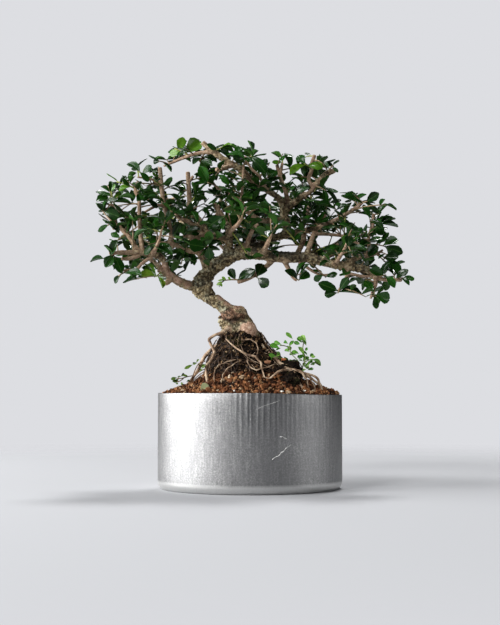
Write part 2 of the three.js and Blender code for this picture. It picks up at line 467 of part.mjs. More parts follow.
// A closed body from rings of points, all with as many points, between two points on the axis.
function ringedSolid(bottom, rings, top) {
  const sides = rings[0].length;
  const vertices = [bottom, ...rings.flat(), top];
  const faces = [];
  for (let j = 0; j < sides; j += 1) {
    const k = (j + 1) % sides;
    faces.push(0, 1 + k, 1 + j);
    for (let i = 0; i < rings.length - 1; i += 1) {
      const a = 1 + i * sides + j;
      const b = 1 + i * sides + k;
      faces.push(a, b, a + sides, b, b + sides, a + sides);
    }
    const lastRing = 1 + (rings.length - 1) * sides;
    faces.push(lastRing + j, lastRing + k, vertices.length - 1);
  }
  return solidOf(geometryFrom(vertices, faces));
}

function sidesFor(radius) {
  if (radius > 9) {
    return 9;
  }
  if (radius > 5) {
    return 6;
  }
  if (radius > 3.6) {
    return 5;
  }
  return radius > 2.2 ? 4 : 3;
}

function limb(path, extra) {
  const points = path.map(place);
  const radii = path.map(([, , depth, radius]) =>
    (radius * (VIEW_DISTANCE + depth)) / VIEW_DISTANCE + extra);
  const middle = path[Math.floor(path.length / 3)];
  return solidOf(tube(points, radii, sidesFor(middle[3])));
}

const WOOD = [...TRUNK, ...RIGHT_LIMBS, ...CENTRE_LIMBS, ...UPPER_LIMBS, ...LEFT_LIMBS,
  ...BACK_LIMBS, ...FRONT_LIMBS, ...ROOTS];
const WOOD_RUNS = WOOD.flatMap((path) => path.slice(1).map((end, i) => ({
  line: new THREE.Line3(place(path[i]), place(end)),
  radii: [path[i][3], end[3]],
})));

function distanceToWood(point) {
  const nearest = new THREE.Vector3();
  return Math.min(...WOOD_RUNS.map(({ line, radii }) => {
    const share = line.closestPointToPointParameter(point, true);
    line.at(share, nearest);
    return nearest.distanceTo(point) - radii[0] - (radii[1] - radii[0]) * share;
  }));
}

function insideOutline([across, up]) {
  let inside = false;
  CROWN_OUTLINE.forEach(([x1, z1], i) => {
    const [x2, z2] = CROWN_OUTLINE[(i + 1) % CROWN_OUTLINE.length];
    if (z1 > up !== z2 > up && across < x1 + ((x2 - x1) * (up - z1)) / (z2 - z1)) {
      inside = !inside;
    }
  });
  return inside;
}

function inLightGap([across, up]) {
  return LIGHT_GAPS.some(([x, z, radius]) => Math.hypot(across - x, up - z) < radius);
}

// A leaf is spoon-shaped, widest past its middle, with a notched tip, folded up along its midrib and
// arched down to its tip. Both faces are split into the same triangles. Its outline runs from its foot
// round to its foot again, as shares of its length and of half its width. A filling leaf has a plain tip.
const LEAF_OUTLINE = [[0, 0], [0.46, -0.86], [0.9, -0.78], [0.93, 0], [0.9, 0.78], [0.46, 0.86]];
const PLAIN_OUTLINE = [[0, 0], [0.46, -0.86], [0.92, -0.7], [0.92, 0.7], [0.46, 0.86]];
const LEAF_MIDDLE = [0.66, 0];
const LEAF_SAMPLES = [[0.45, -0.6], [0.45, 0.6], [0.7, -0.9], [0.7, 0], [0.7, 0.9], [0.95, 0]];

function leafPoint({ base, along, normal, length, width }, [x, y], lift) {
  const fold = (LEAF_FOLD * Math.abs(y) * width) / 2;
  const arch = LEAF_ARCH * x * x * length;
  return base.clone()
    .addScaledVector(along, x * length)
    .addScaledVector(normal.clone().cross(along), (y * width) / 2)
    .addScaledVector(normal, fold - arch + lift);
}

function leafSolid(leaf, thickness = BLADE_THICKNESS) {
  const outline = leaf.outline ?? LEAF_OUTLINE;
  const rim = outline.length;
  const upper = [...outline, LEAF_MIDDLE].map((spot) => leafPoint(leaf, spot, thickness / 2));
  const lower = [...outline, LEAF_MIDDLE].map((spot) => leafPoint(leaf, spot, -thickness / 2));
  const below = rim + 1;
  const faces = [rim - 1, 0, 1, below + rim - 1, below + 1, below];
  for (let i = 0; i < rim; i += 1) {
    const j = (i + 1) % rim;
    faces.push(i, below + i, below + j, i, below + j, j);
  }
  for (let i = 1; i < rim; i += 1) {
    const j = i === rim - 1 ? 1 : i + 1;
    faces.push(rim, i, j, below + rim, below + j, below + i);
  }
  return solidOf(geometryFrom([...upper, ...lower], faces));
}

// A leaf's upper face leans as far towards the front as its width seen from there asks for.
function leafBetween(base, tip, seenWidth, leastWidth) {
  const along = tip.clone().sub(base);
  const length = along.length();
  along.normalize();
  const widthRatio = Math.max(leastWidth, seenWidth);
  const lean = Math.acos(Math.min(1, seenWidth / widthRatio));
  const forward = new THREE.Vector3(0, -1, 0);
  forward.addScaledVector(along, -forward.dot(along)).normalize();
  const upward = forward.clone().cross(along);
  if (upward.z < 0) {
    upward.negate();
  }
  const normal = forward.multiplyScalar(Math.cos(lean)).addScaledVector(upward, Math.sin(lean));
  return { base, along, normal: normal.normalize(), length, width: length * widthRatio };
}

const takenRoom = [];

function clearOfLeaves(samples, owner) {
  return takenRoom.every((taken) => {
    const room = taken.owner === owner ? OWN_LEAF_ROOM : LEAF_ROOM;
    return taken.samples.every((p) => samples.every((q) => p.distanceTo(q) > room));
  });
}

function samplesOf(leaf) {
  return LEAF_SAMPLES.map((spot) => leafPoint(leaf, spot, 0));
}

function clearOfAll(leaf, owner) {
  const samples = samplesOf(leaf);
  return samples.every((p) => distanceToWood(p) > WOOD_ROOM) && clearOfLeaves(samples, owner);
}

// A leaf of the outline keeps its place as seen from the front, and finds room for its tip in depth.
const DEPTH_STEPS = [-6, 5, -14, 13, -22, 21, 0];

function shownLeaf([fromAcross, fromUp, tipAcross, tipUp, seenWidth], order, twig, owner) {
  const base = twig.nearestTo(place([fromAcross, fromUp, twig.tip.y]));
  const depths = order % 2 ? DEPTH_STEPS : DEPTH_STEPS.map((step) => -step);
  const tries = depths.map((step) => {
    const tip = place([tipAcross, tipUp, twig.tip.y + step]);
    return leafBetween(base, tip, seenWidth, LEAF_WIDTH_RATIO);
  });
  return tries.find((leaf) => clearOfAll(leaf, owner)) ?? tries[0];
}

// A filling leaf stands off its twig at an open angle, and turns its face up.
function drawnLeaf(twig, order, count, draw) {
  const share = BARE_SHARE + ((1 - BARE_SHARE) * (order + draw(0.2, 0.8))) / count;
  const turn = GOLDEN_ANGLE * order + draw(-0.6, 0.6);
  const open = draw(LEAF_OPENING[0], LEAF_OPENING[1]);
  const along = twig.ahead.clone().multiplyScalar(Math.cos(open))
    .addScaledVector(twig.side, Math.sin(open) * Math.cos(turn))
    .addScaledVector(twig.other, Math.sin(open) * Math.sin(turn));
  along.z += 0.15;
  along.normalize();
  const normal = new THREE.Vector3(draw(-0.5, 0.5), draw(-0.8, 0.2), 1);
  normal.addScaledVector(along, -normal.dot(along)).normalize();
  const length = draw(LEAF_LENGTH[0], LEAF_LENGTH[1]);
  const width = length * LEAF_WIDTH_RATIO;
  return { base: twig.at(share), along, normal, length, width, outline: PLAIN_OUTLINE };
}

function fillingLeaf(twig, order, count, draw, owner) {
  for (let attempt = 0; attempt < TRIES_PER_LEAF; attempt += 1) {
    const leaf = drawnLeaf(twig, order, count, draw);
    const seen = samplesOf(leaf).map(seenFromFront);
    if (seen.every(insideOutline) && !seen.some(inLightGap) && clearOfAll(leaf, owner)) {
      return leaf;
    }
  }
  return null;
}

// A twig is straight. The leaves that stand out grow past its first quarter.
function twigBetween(foot, tip) {
  const way = tip.clone().sub(foot);
  const ahead = way.clone().normalize();
  const side = new THREE.Vector3(0, 0, 1).addScaledVector(ahead, -ahead.z);
  if (side.length() < 0.2) {
    side.set(1, 0, 0).addScaledVector(ahead, -ahead.x);
  }
  side.normalize();
  const at = (share) => foot.clone().addScaledVector(way, share);
  const nearestTo = (wanted) => {
    const share = wanted.clone().sub(foot).dot(way) / way.lengthSq();
    return at(THREE.MathUtils.clamp(share, TWIG_BARE_SHARE, 1));
  };
  return { tip, at, ahead, side, other: ahead.clone().cross(side), nearestTo };
}

function leavesOf(owner, spray, twig, draw) {
  const leaves = [];
  const keep = (leaf) => {
    leaves.push(leaf);
    takenRoom.push({ owner, samples: samplesOf(leaf) });
  };
  spray.leaves.forEach((numbers, order) => keep(shownLeaf(numbers, order, twig, owner)));
  for (let order = 0; order < spray.fill; order += 1) {
    const leaf = fillingLeaf(twig, order, spray.fill, draw, owner);
    if (leaf) {
      keep(leaf);
    }
  }
  return leaves;
}

function overlaps(solid, others) {
  return others.some((other) => solid.intersect(other).volume() > 0);
}

// A twig with its leaves. A leaf that would cross another spray is left out.
function leafyTwig(owner, twig, parts, draw, others) {
  const blades = leavesOf(owner, parts, twig, draw)
    .filter((leaf) => !overlaps(leafSolid(leaf, BLADE_THICKNESS + GAP), others))
    .map((leaf) => leafSolid(leaf));
  const stem = solidOf(tube([twig.at(0), twig.at(1)], TWIG_RADII, TWIG_SIDES));
  return blades.reduce((sum, blade) => sum.add(blade), stem);
}

// The wood of every spray is cut back from the tree's, and a leaf that comes off in that cut is left out.
function makeSprays(thickWood) {
  const draw = seededNumbers(SPRAY_SEED);
  const twigs = {};
  const sprays = {};
  Object.entries(SPRAYS).forEach(([name, spray]) => {
    twigs[name] = twigBetween(place(spray.from), place(spray.to));
    const solid = leafyTwig(name, twigs[name], spray, draw, Object.values(sprays));
    sprays[name] = largestBody(solid.subtract(thickWood));
  });
  FORKS.forEach(({ spray, to, fill }) => {
    const twig = twigBetween(twigs[spray].at(FORK_SHARE), place(to));
    const others = Object.keys(sprays).filter((name) => name !== spray).map((name) => sprays[name]);
    const solid = leafyTwig(spray, twig, { leaves: [], fill }, draw, others);
    sprays[spray] = largestBody(sprays[spray].add(solid.subtract(thickWood)));
  });
  return sprays;
}

function makePot() {
  const outline = [new THREE.Vector2(0, 0)];
  for (let i = 0; i <= FOOT_STEPS; i += 1) {
    const turn = (Math.PI / 2) * (i / FOOT_STEPS);
    outline.push(new THREE.Vector2(
      POT_RADIUS - FOOT_INSET * (1 - Math.sin(turn)),
      FOOT_HEIGHT * (1 - Math.cos(turn)),
    ));
  }
  const inner = POT_RADIUS - POT_WALL;
  outline.push(new THREE.Vector2(POT_RADIUS, POT_HEIGHT));
  outline.push(new THREE.Vector2(inner, POT_HEIGHT));
  outline.push(new THREE.Vector2(inner, FOOT_HEIGHT));
  outline.push(new THREE.Vector2(inner - FOOT_INSET, POT_FLOOR));
  outline.push(new THREE.Vector2(0, POT_FLOOR));
  const geometry = new THREE.LatheGeometry(outline, POT_SIDES);
  geometry.rotateX(Math.PI / 2);
  const position = geometry.attributes.position;
  for (let i = 0; i < position.count; i += 1) {
    if (position.getZ(i) > POT_HEIGHT - 1) {
      const share = THREE.MathUtils.smoothstep(position.getX(i), 0, POT_RADIUS);
      position.setZ(i, POT_HEIGHT - RIM_SAG * share);
    }
  }
  let pot = solidOf(geometry);
  for (let i = 0; i < DRAIN_HOLES; i += 1) {
    const drill = new THREE.CylinderGeometry(DRAIN_RADIUS, DRAIN_RADIUS, 4 * POT_FLOOR, DRAIN_SIDES);
    drill.rotateX(Math.PI / 2);
    drill.translate(DRAIN_RING, 0, 0);
    drill.rotateZ((2 * Math.PI * i) / DRAIN_HOLES + DRAIN_TURN);
    pot = pot.subtract(solidOf(drill));
  }
  return pot;
}

function circle(radius, height, sides, relief = () => 0) {
  return Array.from({ length: sides }, (_, j) => {
    const turn = (2 * Math.PI * j) / sides;
    return new THREE.Vector3(radius * Math.cos(turn), radius * Math.sin(turn), height + relief());
  });
}

function makeSoil() {
  const draw = seededNumbers(SOIL_SEED);
  const grain = () => draw(-GRANULE_RELIEF, GRANULE_RELIEF);
  const bottom = POT_FLOOR + GAP;
  const rings = [
    circle(SOIL_RADIUS - FOOT_INSET, bottom, POT_SIDES),
    circle(SOIL_RADIUS, FOOT_HEIGHT + GAP, POT_SIDES),
    circle(SOIL_RADIUS, SOIL_EDGE, POT_SIDES, grain),
    ...SOIL_PROFILE.map(([radius, height]) => circle(radius, height, POT_SIDES, grain)),
  ];
  return ringedSolid(new THREE.Vector3(0, 0, bottom), rings, new THREE.Vector3(0, 0, SOIL_TOP));
}

function makeRootBall(extra) {
  const draw = seededNumbers(BALL_SEED);
  const rings = BALL_PROFILE.map(([height, centre, radius]) =>
    Array.from({ length: BALL_SECTORS }, (_, j) => {
      const turn = (2 * Math.PI * j) / BALL_SECTORS;
      const reach = radius + draw(-BALL_RELIEF, BALL_RELIEF) + extra;
      return new THREE.Vector3(
        centre + reach * Math.cos(turn),
        reach * Math.sin(turn) * BALL_DEPTH_RATIO,
        height + draw(-BALL_RELIEF, BALL_RELIEF) / 2,
      );
    }));
  const [lowest, centre] = BALL_PROFILE[0];
  const bottom = new THREE.Vector3(centre, 0, lowest - extra);
  return ringedSolid(bottom, rings, new THREE.Vector3(BALL_PROFILE.at(-1)[1], 0, BALL_TOP + extra));
}

// A seedling's stems and leaves, or the same made thicker for the holes that they stand in.
function makeSeedling({ stems, leaves }, extra) {
  const stemSolids = stems.map((path) => {
    const radii = path.map(() => SEEDLING_STEM_RADIUS + extra);
    return solidOf(tube(path.map(place), radii, SEEDLING_STEM_SIDES));
  });
  const joints = stems.flatMap((path) => path.slice(1).map(place));
  const blades = leaves.map(([fromAcross, fromUp, tipAcross, tipUp, seenWidth]) => {
    const wanted = place([fromAcross, fromUp, stems[0][0][2]]);
    const foot = joints.reduce((best, joint) =>
      (joint.distanceTo(wanted) < best.distanceTo(wanted) ? joint : best));
    const tip = place([tipAcross, tipUp, foot.y - SEEDLING_LEAF_LEAN]);
    const leaf = leafBetween(foot.clone(), tip, seenWidth, seenWidth);
    return leafSolid(leaf, BLADE_THICKNESS + 2 * extra);
  });
  return joined([...stemSolids, ...blades]);
}

const barkBrown = new THREE.MeshStandardMaterial({ color: 0x7d6a55, roughness: 0.9 });
const leafGreen = new THREE.MeshStandardMaterial({ color: 0x1f4a1c, roughness: 0.3 });
const seedlingGreen = new THREE.MeshStandardMaterial({ color: 0x4f8a3c, roughness: 0.5 });
const fadedGreen = new THREE.MeshStandardMaterial({ color: 0xb9c48a, roughness: 0.6 });
const aluminium = new THREE.MeshStandardMaterial({ color: 0xc4c6c8, roughness: 0.35, metalness: 1 });
const redSoil = new THREE.MeshStandardMaterial({ color: 0x7a4a2c, roughness: 1 });
const darkPeat = new THREE.MeshStandardMaterial({ color: 0x2c2620, roughness: 1 });

const tree = largestBody(joined(WOOD.map((path) => limb(path, 0))));
const thickWood = joined(WOOD.map((path) => limb(path, GAP)));
const seedlings = Object.entries(SEEDLINGS).map(([side, parts]) => [
  side,
  makeSeedling(parts, 0).subtract(thickWood),
]);
const thickSeedlings = joined(Object.values(SEEDLINGS).map((parts) => makeSeedling(parts, GAP)));
const { foot, tip, widthRatio } = FALLEN_LEAF;
const fallen = leafBetween(place(foot), place(tip), widthRatio, widthRatio);
const fallenLeaf = leafSolid(fallen);
const thickFallenLeaf = leafSolid({
  ...fallen,
  base: fallen.base.clone().addScaledVector(fallen.along, -FALLEN_LEAF_ROOM),
  length: fallen.length + 2 * FALLEN_LEAF_ROOM,
  width: fallen.width + 2 * FALLEN_LEAF_ROOM,
}, BLADE_THICKNESS + 4 * GAP);
const holes = joined([thickWood, thickSeedlings, thickFallenLeaf]);
const soil = largestBody(makeSoil().subtract(holes.add(makeRootBall(BALL_GAP))));
const rootBall = largestBody(makeRootBall(0).subtract(holes));

const bonsai = new THREE.Group();
bonsai.add(meshOf("pot", makePot(), aluminium));
bonsai.add(meshOf("soil", soil, redSoil));
bonsai.add(meshOf("root_ball", rootBall, darkPeat));
bonsai.add(meshOf("tree", tree, barkBrown));
Object.entries(makeSprays(thickWood)).forEach(([name, solid]) => {
  bonsai.add(meshOf(`spray_${name}`, solid, leafGreen));
});
seedlings.forEach(([side, solid]) => {
  bonsai.add(meshOf(`seedling_${side}`, largestBody(solid), seedlingGreen));
});
bonsai.add(meshOf("fallen_leaf", fallenLeaf, fadedGreen));

export default bonsai;
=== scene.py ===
# %% [markdown]
# # A fukien tea bonsai in its aluminium pot
#
# This notebook dresses a small-leaved fukien tea that leans over the edge of a plain round pot. The
# solids of the tree, its leafy sprays, the soil and the pot are already made, at their real size. Here
# each of them gets the surface that the real one has, and a finer shape that stays where the solid is.
#
# We begin by loading those solids. They come in metres, with the pot's foot at the origin, +Z up and
# the viewer on the -Y side.

# %% Load the imported model
import json
import math

import bmesh
import bpy
import numpy as np
from mathutils import Matrix, Vector, noise
from mathutils.kdtree import KDTree

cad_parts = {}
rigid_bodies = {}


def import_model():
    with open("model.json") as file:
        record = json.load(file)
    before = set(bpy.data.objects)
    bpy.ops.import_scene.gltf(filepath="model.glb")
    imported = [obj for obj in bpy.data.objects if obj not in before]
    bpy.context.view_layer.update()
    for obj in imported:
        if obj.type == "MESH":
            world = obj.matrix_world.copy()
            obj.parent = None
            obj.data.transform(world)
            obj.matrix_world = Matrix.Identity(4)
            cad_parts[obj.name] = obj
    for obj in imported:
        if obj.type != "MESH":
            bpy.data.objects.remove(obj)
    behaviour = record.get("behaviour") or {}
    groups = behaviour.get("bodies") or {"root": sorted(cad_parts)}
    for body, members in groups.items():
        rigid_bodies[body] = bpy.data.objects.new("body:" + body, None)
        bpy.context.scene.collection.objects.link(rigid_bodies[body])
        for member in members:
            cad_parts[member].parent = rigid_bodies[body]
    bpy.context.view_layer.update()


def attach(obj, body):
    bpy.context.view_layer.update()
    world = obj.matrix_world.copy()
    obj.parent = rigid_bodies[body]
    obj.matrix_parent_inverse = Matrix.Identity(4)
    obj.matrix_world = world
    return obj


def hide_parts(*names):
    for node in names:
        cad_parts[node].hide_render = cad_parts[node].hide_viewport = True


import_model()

# %% [markdown]
# ## Small tools
#
# Sizes in this notebook are written in millimetres, as a gardener would measure them, and `MM` turns
# them into Blender's metres. Random draws come from one short formula, so that every run is the same.
# Colours are written as they look on a screen, and one function turns them into the linear values that
# the renderer works in. One more function adds a node to a tree with its settings and links.

# %% Units, draws, colours and nodes
MM = 0.001
DRAW_FACTOR = 1664525
DRAW_STEP = 1013904223
DRAW_RANGE = 2 ** 32


def seeded_numbers(seed):
    """A source of random draws: each call of `draw(low, high)` gives the next one."""
    state = seed

    def draw(low, high):
        nonlocal state
        state = (state * DRAW_FACTOR + DRAW_STEP) % DRAW_RANGE
        return low + (high - low) * state / DRAW_RANGE

    return draw


def smooth_step(value, low, high):
    """0 below `low`, 1 above `high`, and a soft rise between them."""
    share = min(max((value - low) / (high - low), 0), 1)
    return share * share * (3 - 2 * share)


def turns_round(steps):
    """The angles of evenly spaced places round a circle."""
    return [math.tau * step / steps for step in range(steps)]


def ring_faces(rings, sides, first=0):
    """The quads between rings of vertices that follow each other."""
    corners = [(first + i * sides + j, first + i * sides + (j + 1) % sides)
               for i in range(rings - 1) for j in range(sides)]
    return [(a, b, b + sides, a + sides) for a, b in corners]


def colour(hex_code):
    """The linear values of a colour that is written as a screen shows it."""
    shares = [int(hex_code[i:i + 2], 16) / 255 for i in (1, 3, 5)]
    linear = [s / 12.92 if s <= 0.04045 else ((s + 0.055) / 1.055) ** 2.4 for s in shares]
    return (*linear, 1.0)


def wire(tree, node, inputs):
    """Fills a node's inputs: values are written, sockets linked, and nodes linked by their first output."""
    for socket, value in inputs.items():
        if isinstance(value, bpy.types.Node):
            value = next(output for output in value.outputs if output.enabled)
        if isinstance(value, bpy.types.NodeSocket):
            tree.links.new(value, node.inputs[socket])
        else:
            node.inputs[socket].default_value = value


def add(tree, kind, inputs=None, stops=None, **settings):
    """Adds a node with its settings and links. `stops` are the places and colours of a ramp."""
    node = tree.nodes.new(kind)
    for name, value in settings.items():
        setattr(node, name, value)
    wire(tree, node, inputs or {})
    if stops:
        ramp = node.color_ramp.elements
        while len(ramp) < len(stops):
            ramp.new(0.5)
        for element, (position, hex_code) in zip(ramp, stops):
            element.position = position
            element.color = colour(hex_code)
    return node


def new_material(name):
    """An empty material with its shader, its output and the surface's own coordinates."""
    material = bpy.data.materials.new(name)
    material.use_nodes = True
    tree = material.node_tree
    tree.nodes.clear()
    shader = add(tree, "ShaderNodeBsdfPrincipled")
    add(tree, "ShaderNodeOutputMaterial", {"Surface": shader})
    place_on_piece = add(tree, "ShaderNodeTexCoord").outputs["Object"]
    return material, tree, shader, place_on_piece


def put_in_scene(name, data):
    """An object for a mesh, a light or a camera."""
    thing = bpy.data.objects.new(name, data)
    bpy.context.collection.objects.link(thing)
    return thing


def mesh_piece(name, vertices_mm, faces, material=None, smooth=True):
    """A mesh object at the world's origin, from vertices in millimetres."""
    mesh = bpy.data.meshes.new(name)
    mesh.from_pydata((np.asarray(vertices_mm) * MM).tolist(), [], faces)
    if material:
        mesh.materials.append(material)
    mesh.polygons.foreach_set("use_smooth", [smooth] * len(mesh.polygons))
    return put_in_scene(name, mesh)


def mesh_of(work, name):
    """Turns a work mesh into a real one, and frees it."""
    mesh = bpy.data.meshes.new(name)
    work.to_mesh(mesh)
    work.free()
    return mesh


def baked(piece):
    """Turns a piece with its modifiers into a plain mesh, and takes the modifiers off."""
    bpy.context.view_layer.update()
    evaluated = piece.evaluated_get(bpy.context.evaluated_depsgraph_get())
    mesh = bpy.data.meshes.new_from_object(evaluated)
    piece.modifiers.clear()
    old = piece.data
    piece.data = mesh
    bpy.data.meshes.remove(old)
    mesh.name = piece.name
    return piece


def triangles(piece):
    return sum(len(polygon.vertices) - 2 for polygon in piece.data.polygons)


print("a mid grey of the screen is", colour("#808080")[0], "in linear values")

# %% [markdown]
# ## Camera
#
# The photograph was taken from about 1.4 metres away, at the height of the pot's rim and tilted up a
# little, so that the rim looks flat and the foot shows as a shallow curve. Setting the camera first
# lets us judge every piece from where the photograph was taken.

# %% Camera
VIEW_DISTANCE = 1410
EYE_HEIGHT = 105
TILT_UP = 3.55
FOCAL_LENGTH = 73.83
SENSOR_WIDTH = 36

camera_data = bpy.data.cameras.new("camera")
camera_data.lens = FOCAL_LENGTH
camera_data.sensor_width = SENSOR_WIDTH
camera = put_in_scene("camera", camera_data)
camera.location = (0, -VIEW_DISTANCE * MM, EYE_HEIGHT * MM)
camera.rotation_euler = (math.radians(90 + TILT_UP), 0, 0)
bpy.context.scene.camera = camera
print("camera at", tuple(camera.location))

# %% [markdown]
# ## Light and backdrop
#
# The real picture is a studio one with a flat, pale ground. A wide softbox low on the left draws the
# bright band down the pot, and a weaker one on the right draws the thin band there. Bare metal shows
# its surroundings like a mirror, so the room stays dark: that is what makes the middle of the pot grey.
# Three far, soft lights fall on everything alike: one from overhead, one from the front left, and one
# from above and behind, whose reflection is the glint on the leaves.
#
# The floor is a round sheet of pale card that fades out at its rim, and the world shows the same pale
# tone behind it to the camera alone, so that no horizon shows from any side. To everything else the
# world is a dim room.

# %% Floor, world and lights
# The studio is measured in metres.
FLOOR_RADIUS = 1.3
FLOOR_SOLID_RADIUS = 0.5
FLOOR_STEPS = 96
PALE_GROUND = "#dddee2"
ROOM_TONE = 0.06
SOFTBOX_TARGET = (0, 0, 0.1)


def make_floor():
    vertices = [(FLOOR_RADIUS / MM * math.cos(t), FLOOR_RADIUS / MM * math.sin(t), 0)
                for t in turns_round(FLOOR_STEPS)]
    material, tree, shader, on_piece = new_material("matte_card")
    away = add(tree, "ShaderNodeVectorMath", {0: on_piece}, operation="LENGTH")
    fade = add(tree, "ShaderNodeMapRange", {
        "Value": away, "From Min": FLOOR_SOLID_RADIUS, "From Max": FLOOR_RADIUS, "To Min": 1.0,
        "To Max": 0.0}, interpolation_type="SMOOTHSTEP")
    wire(tree, shader, {
        "Base Color": colour("#abacaf"), "Alpha": fade, "Roughness": 1.0, "Specular IOR Level": 0.0})
    return mesh_piece("floor", vertices, [list(range(FLOOR_STEPS))], material)


def add_softbox(name, place_m, size_m, watts):
    """A rectangle of light that faces the pot."""
    data = bpy.data.lights.new(name, "AREA")
    data.shape = "RECTANGLE"
    data.size, data.size_y = size_m
    data.energy = watts
    light = put_in_scene(name, data)
    light.location = place_m
    facing = Vector(SOFTBOX_TARGET) - Vector(place_m)
    light.rotation_euler = facing.to_track_quat("-Z", "Y").to_euler()


def add_sky_light(name, towards, strength, spread_degrees):
    """Light that falls evenly over the whole floor, as from a very large and far softbox."""
    data = bpy.data.lights.new(name, "SUN")
    data.energy = strength
    data.angle = math.radians(spread_degrees)
    light = put_in_scene(name, data)
    light.rotation_euler = Vector(towards).to_track_quat("-Z", "Y").to_euler()


def make_world():
    world = bpy.data.worlds.new("studio")
    bpy.context.scene.world = world
    world.use_nodes = True
    tree = world.node_tree
    tree.nodes.clear()
    seen = add(tree, "ShaderNodeBackground", {"Color": colour(PALE_GROUND), "Strength": 1.0})
    room = add(tree, "ShaderNodeBackground", {"Color": colour("#e8ecf2"), "Strength": ROOM_TONE})
    ray = add(tree, "ShaderNodeLightPath")
    mixed = add(tree, "ShaderNodeMixShader", {0: ray.outputs["Is Camera Ray"], 1: room, 2: seen})
    add(tree, "ShaderNodeOutputWorld", {"Surface": mixed})


make_floor()
make_world()
add_sky_light("overhead", towards=(0.6, 0.35, -1), strength=1.1, spread_degrees=24)
add_sky_light("front_left", towards=(0.5, 0.8, -0.55), strength=1.35, spread_degrees=14)
add_sky_light("hair_light", towards=(-0.12, -0.45, -1), strength=2.4, spread_degrees=13)
add_softbox("left_softbox", place_m=(-1.9, -0.15, 0.5), size_m=(2.2, 0.9), watts=74)
add_softbox("right_softbox", place_m=(1.9, -0.4, 0.5), size_m=(0.8, 0.9), watts=7)
bpy.context.scene.view_settings.view_transform = "Standard"
print("floor and", len(bpy.data.lights), "lights")

# %% [markdown]
# ## The pot
#
# The pot is a straight tube of bare aluminium, spun or drawn from sheet, with a rounded foot and three
# drain holes in its floor. It could be turned as a profile round an axis, with the holes cut out by a
# Boolean. Spinning a profile keeps the wall's true thickness at the rim, where it shows.
#
# The metal was left as it came off the lathe and then stood in the garden. It has gone matte and
# grainy, hard water has run down from the rim in rippled streaks, and a few knocks left scratches. The
# foot is painted paler, a painted reflection of the pale floor under it. The scratches are fine raised
# beads of the same metal, because bumped-up metal beside a scratch is what catches the light.

# %% Pot
POT_RADIUS = 100.7
POT_HEIGHT = 104
POT_WALL = 2.4
POT_FLOOR = 3
FOOT_INSET = 6.5
FOOT_HEIGHT = 10
RIM_SAG = 2
RIM_ROUND = 0.8
DRAIN_RADIUS = 7
DRAIN_RING = 55
DRAIN_HOLES = 3
DRAIN_TURN = 0.4
POT_STEPS = 192
FOOT_RUNS = 10
WALL_RUNS = 8
LIP_RUNS = 3
DRILL_STEPS = 32
# The rim sags only above this height.
SAG_FROM = 90


def arc(centre, radius, start, end, steps):
    """Places on an arc of an ellipse, whose two radii are given."""
    turns = [start + (end - start) * i / steps for i in range(steps + 1)]
    return [(centre[0] + radius[0] * math.cos(t), centre[1] + radius[1] * math.sin(t)) for t in turns]


def pot_profile():
    """The wall's outline: from the edge of the flat foot up to the rim, and down inside to the floor."""
    inner = POT_RADIUS - POT_WALL
    foot = (FOOT_INSET, FOOT_HEIGHT)
    quarter = math.pi / 2
    profile = arc((POT_RADIUS - FOOT_INSET, FOOT_HEIGHT), foot, -quarter, 0, FOOT_RUNS)
    wall_run = (POT_HEIGHT - FOOT_HEIGHT) / WALL_RUNS
    profile += [(POT_RADIUS, FOOT_HEIGHT + wall_run * i) for i in range(1, WALL_RUNS)]
    top, lip = POT_HEIGHT - RIM_ROUND, (RIM_ROUND, RIM_ROUND)
    profile += arc((POT_RADIUS - RIM_ROUND, top), lip, 0, quarter, LIP_RUNS)
    profile += arc((inner + RIM_ROUND, top), lip, quarter, 2 * quarter, LIP_RUNS)
    profile.append((inner, FOOT_HEIGHT))
    inner_foot = (FOOT_INSET, FOOT_HEIGHT - POT_FLOOR)
    profile += arc((inner - FOOT_INSET, FOOT_HEIGHT), inner_foot, 0, -quarter, WALL_RUNS)[1:]
    return profile


def drill_at(turn, name):
    """A cylinder through the pot's floor."""
    x, y = DRAIN_RING * math.cos(turn), DRAIN_RING * math.sin(turn)
    vertices = [(x + DRAIN_RADIUS * math.cos(t), y + DRAIN_RADIUS * math.sin(t), height)
                for height in (-POT_FLOOR, 2 * POT_FLOOR) for t in turns_round(DRILL_STEPS)]
    ends = [list(reversed(range(DRILL_STEPS))), list(range(DRILL_STEPS, 2 * DRILL_STEPS))]
    return mesh_piece(name, vertices, ring_faces(2, DRILL_STEPS) + ends)


def make_pot(material):
    profile = pot_profile()
    rings = len(profile)
    vertices = []
    for turn in turns_round(POT_STEPS):
        for radius, height in profile:
            x = radius * math.cos(turn)
            risen = max(0, height - SAG_FROM) / (POT_HEIGHT - SAG_FROM)
            sag = RIM_SAG * smooth_step(x, 0, POT_RADIUS) * risen
            vertices.append((x, radius * math.sin(turn), height - sag))
    faces = []
    for j in range(POT_STEPS):
        k = (j + 1) % POT_STEPS
        for i in range(rings - 1):
            faces.append((j * rings + i, k * rings + i, k * rings + i + 1, j * rings + i + 1))
    faces.append([j * rings for j in reversed(range(POT_STEPS))])
    faces.append([j * rings + rings - 1 for j in range(POT_STEPS)])
    pot = mesh_piece("aluminium_pot", vertices, faces, material)
    for i, turn in enumerate(turns_round(DRAIN_HOLES)):
        drill = drill_at(turn + DRAIN_TURN, f"drill_{i}")
        cut = pot.modifiers.new("drain", "BOOLEAN")
        cut.operation = "DIFFERENCE"
        cut.solver = "EXACT"
        cut.object = drill
        baked(pot)
        bpy.data.objects.remove(drill)
    pot.data.polygons.foreach_set("use_smooth", [True] * len(pot.data.polygons))
    return pot


RIPPLE_SPACING = 6
RIPPLE_MIDDLE = 12
RIPPLE_WANDER = 11


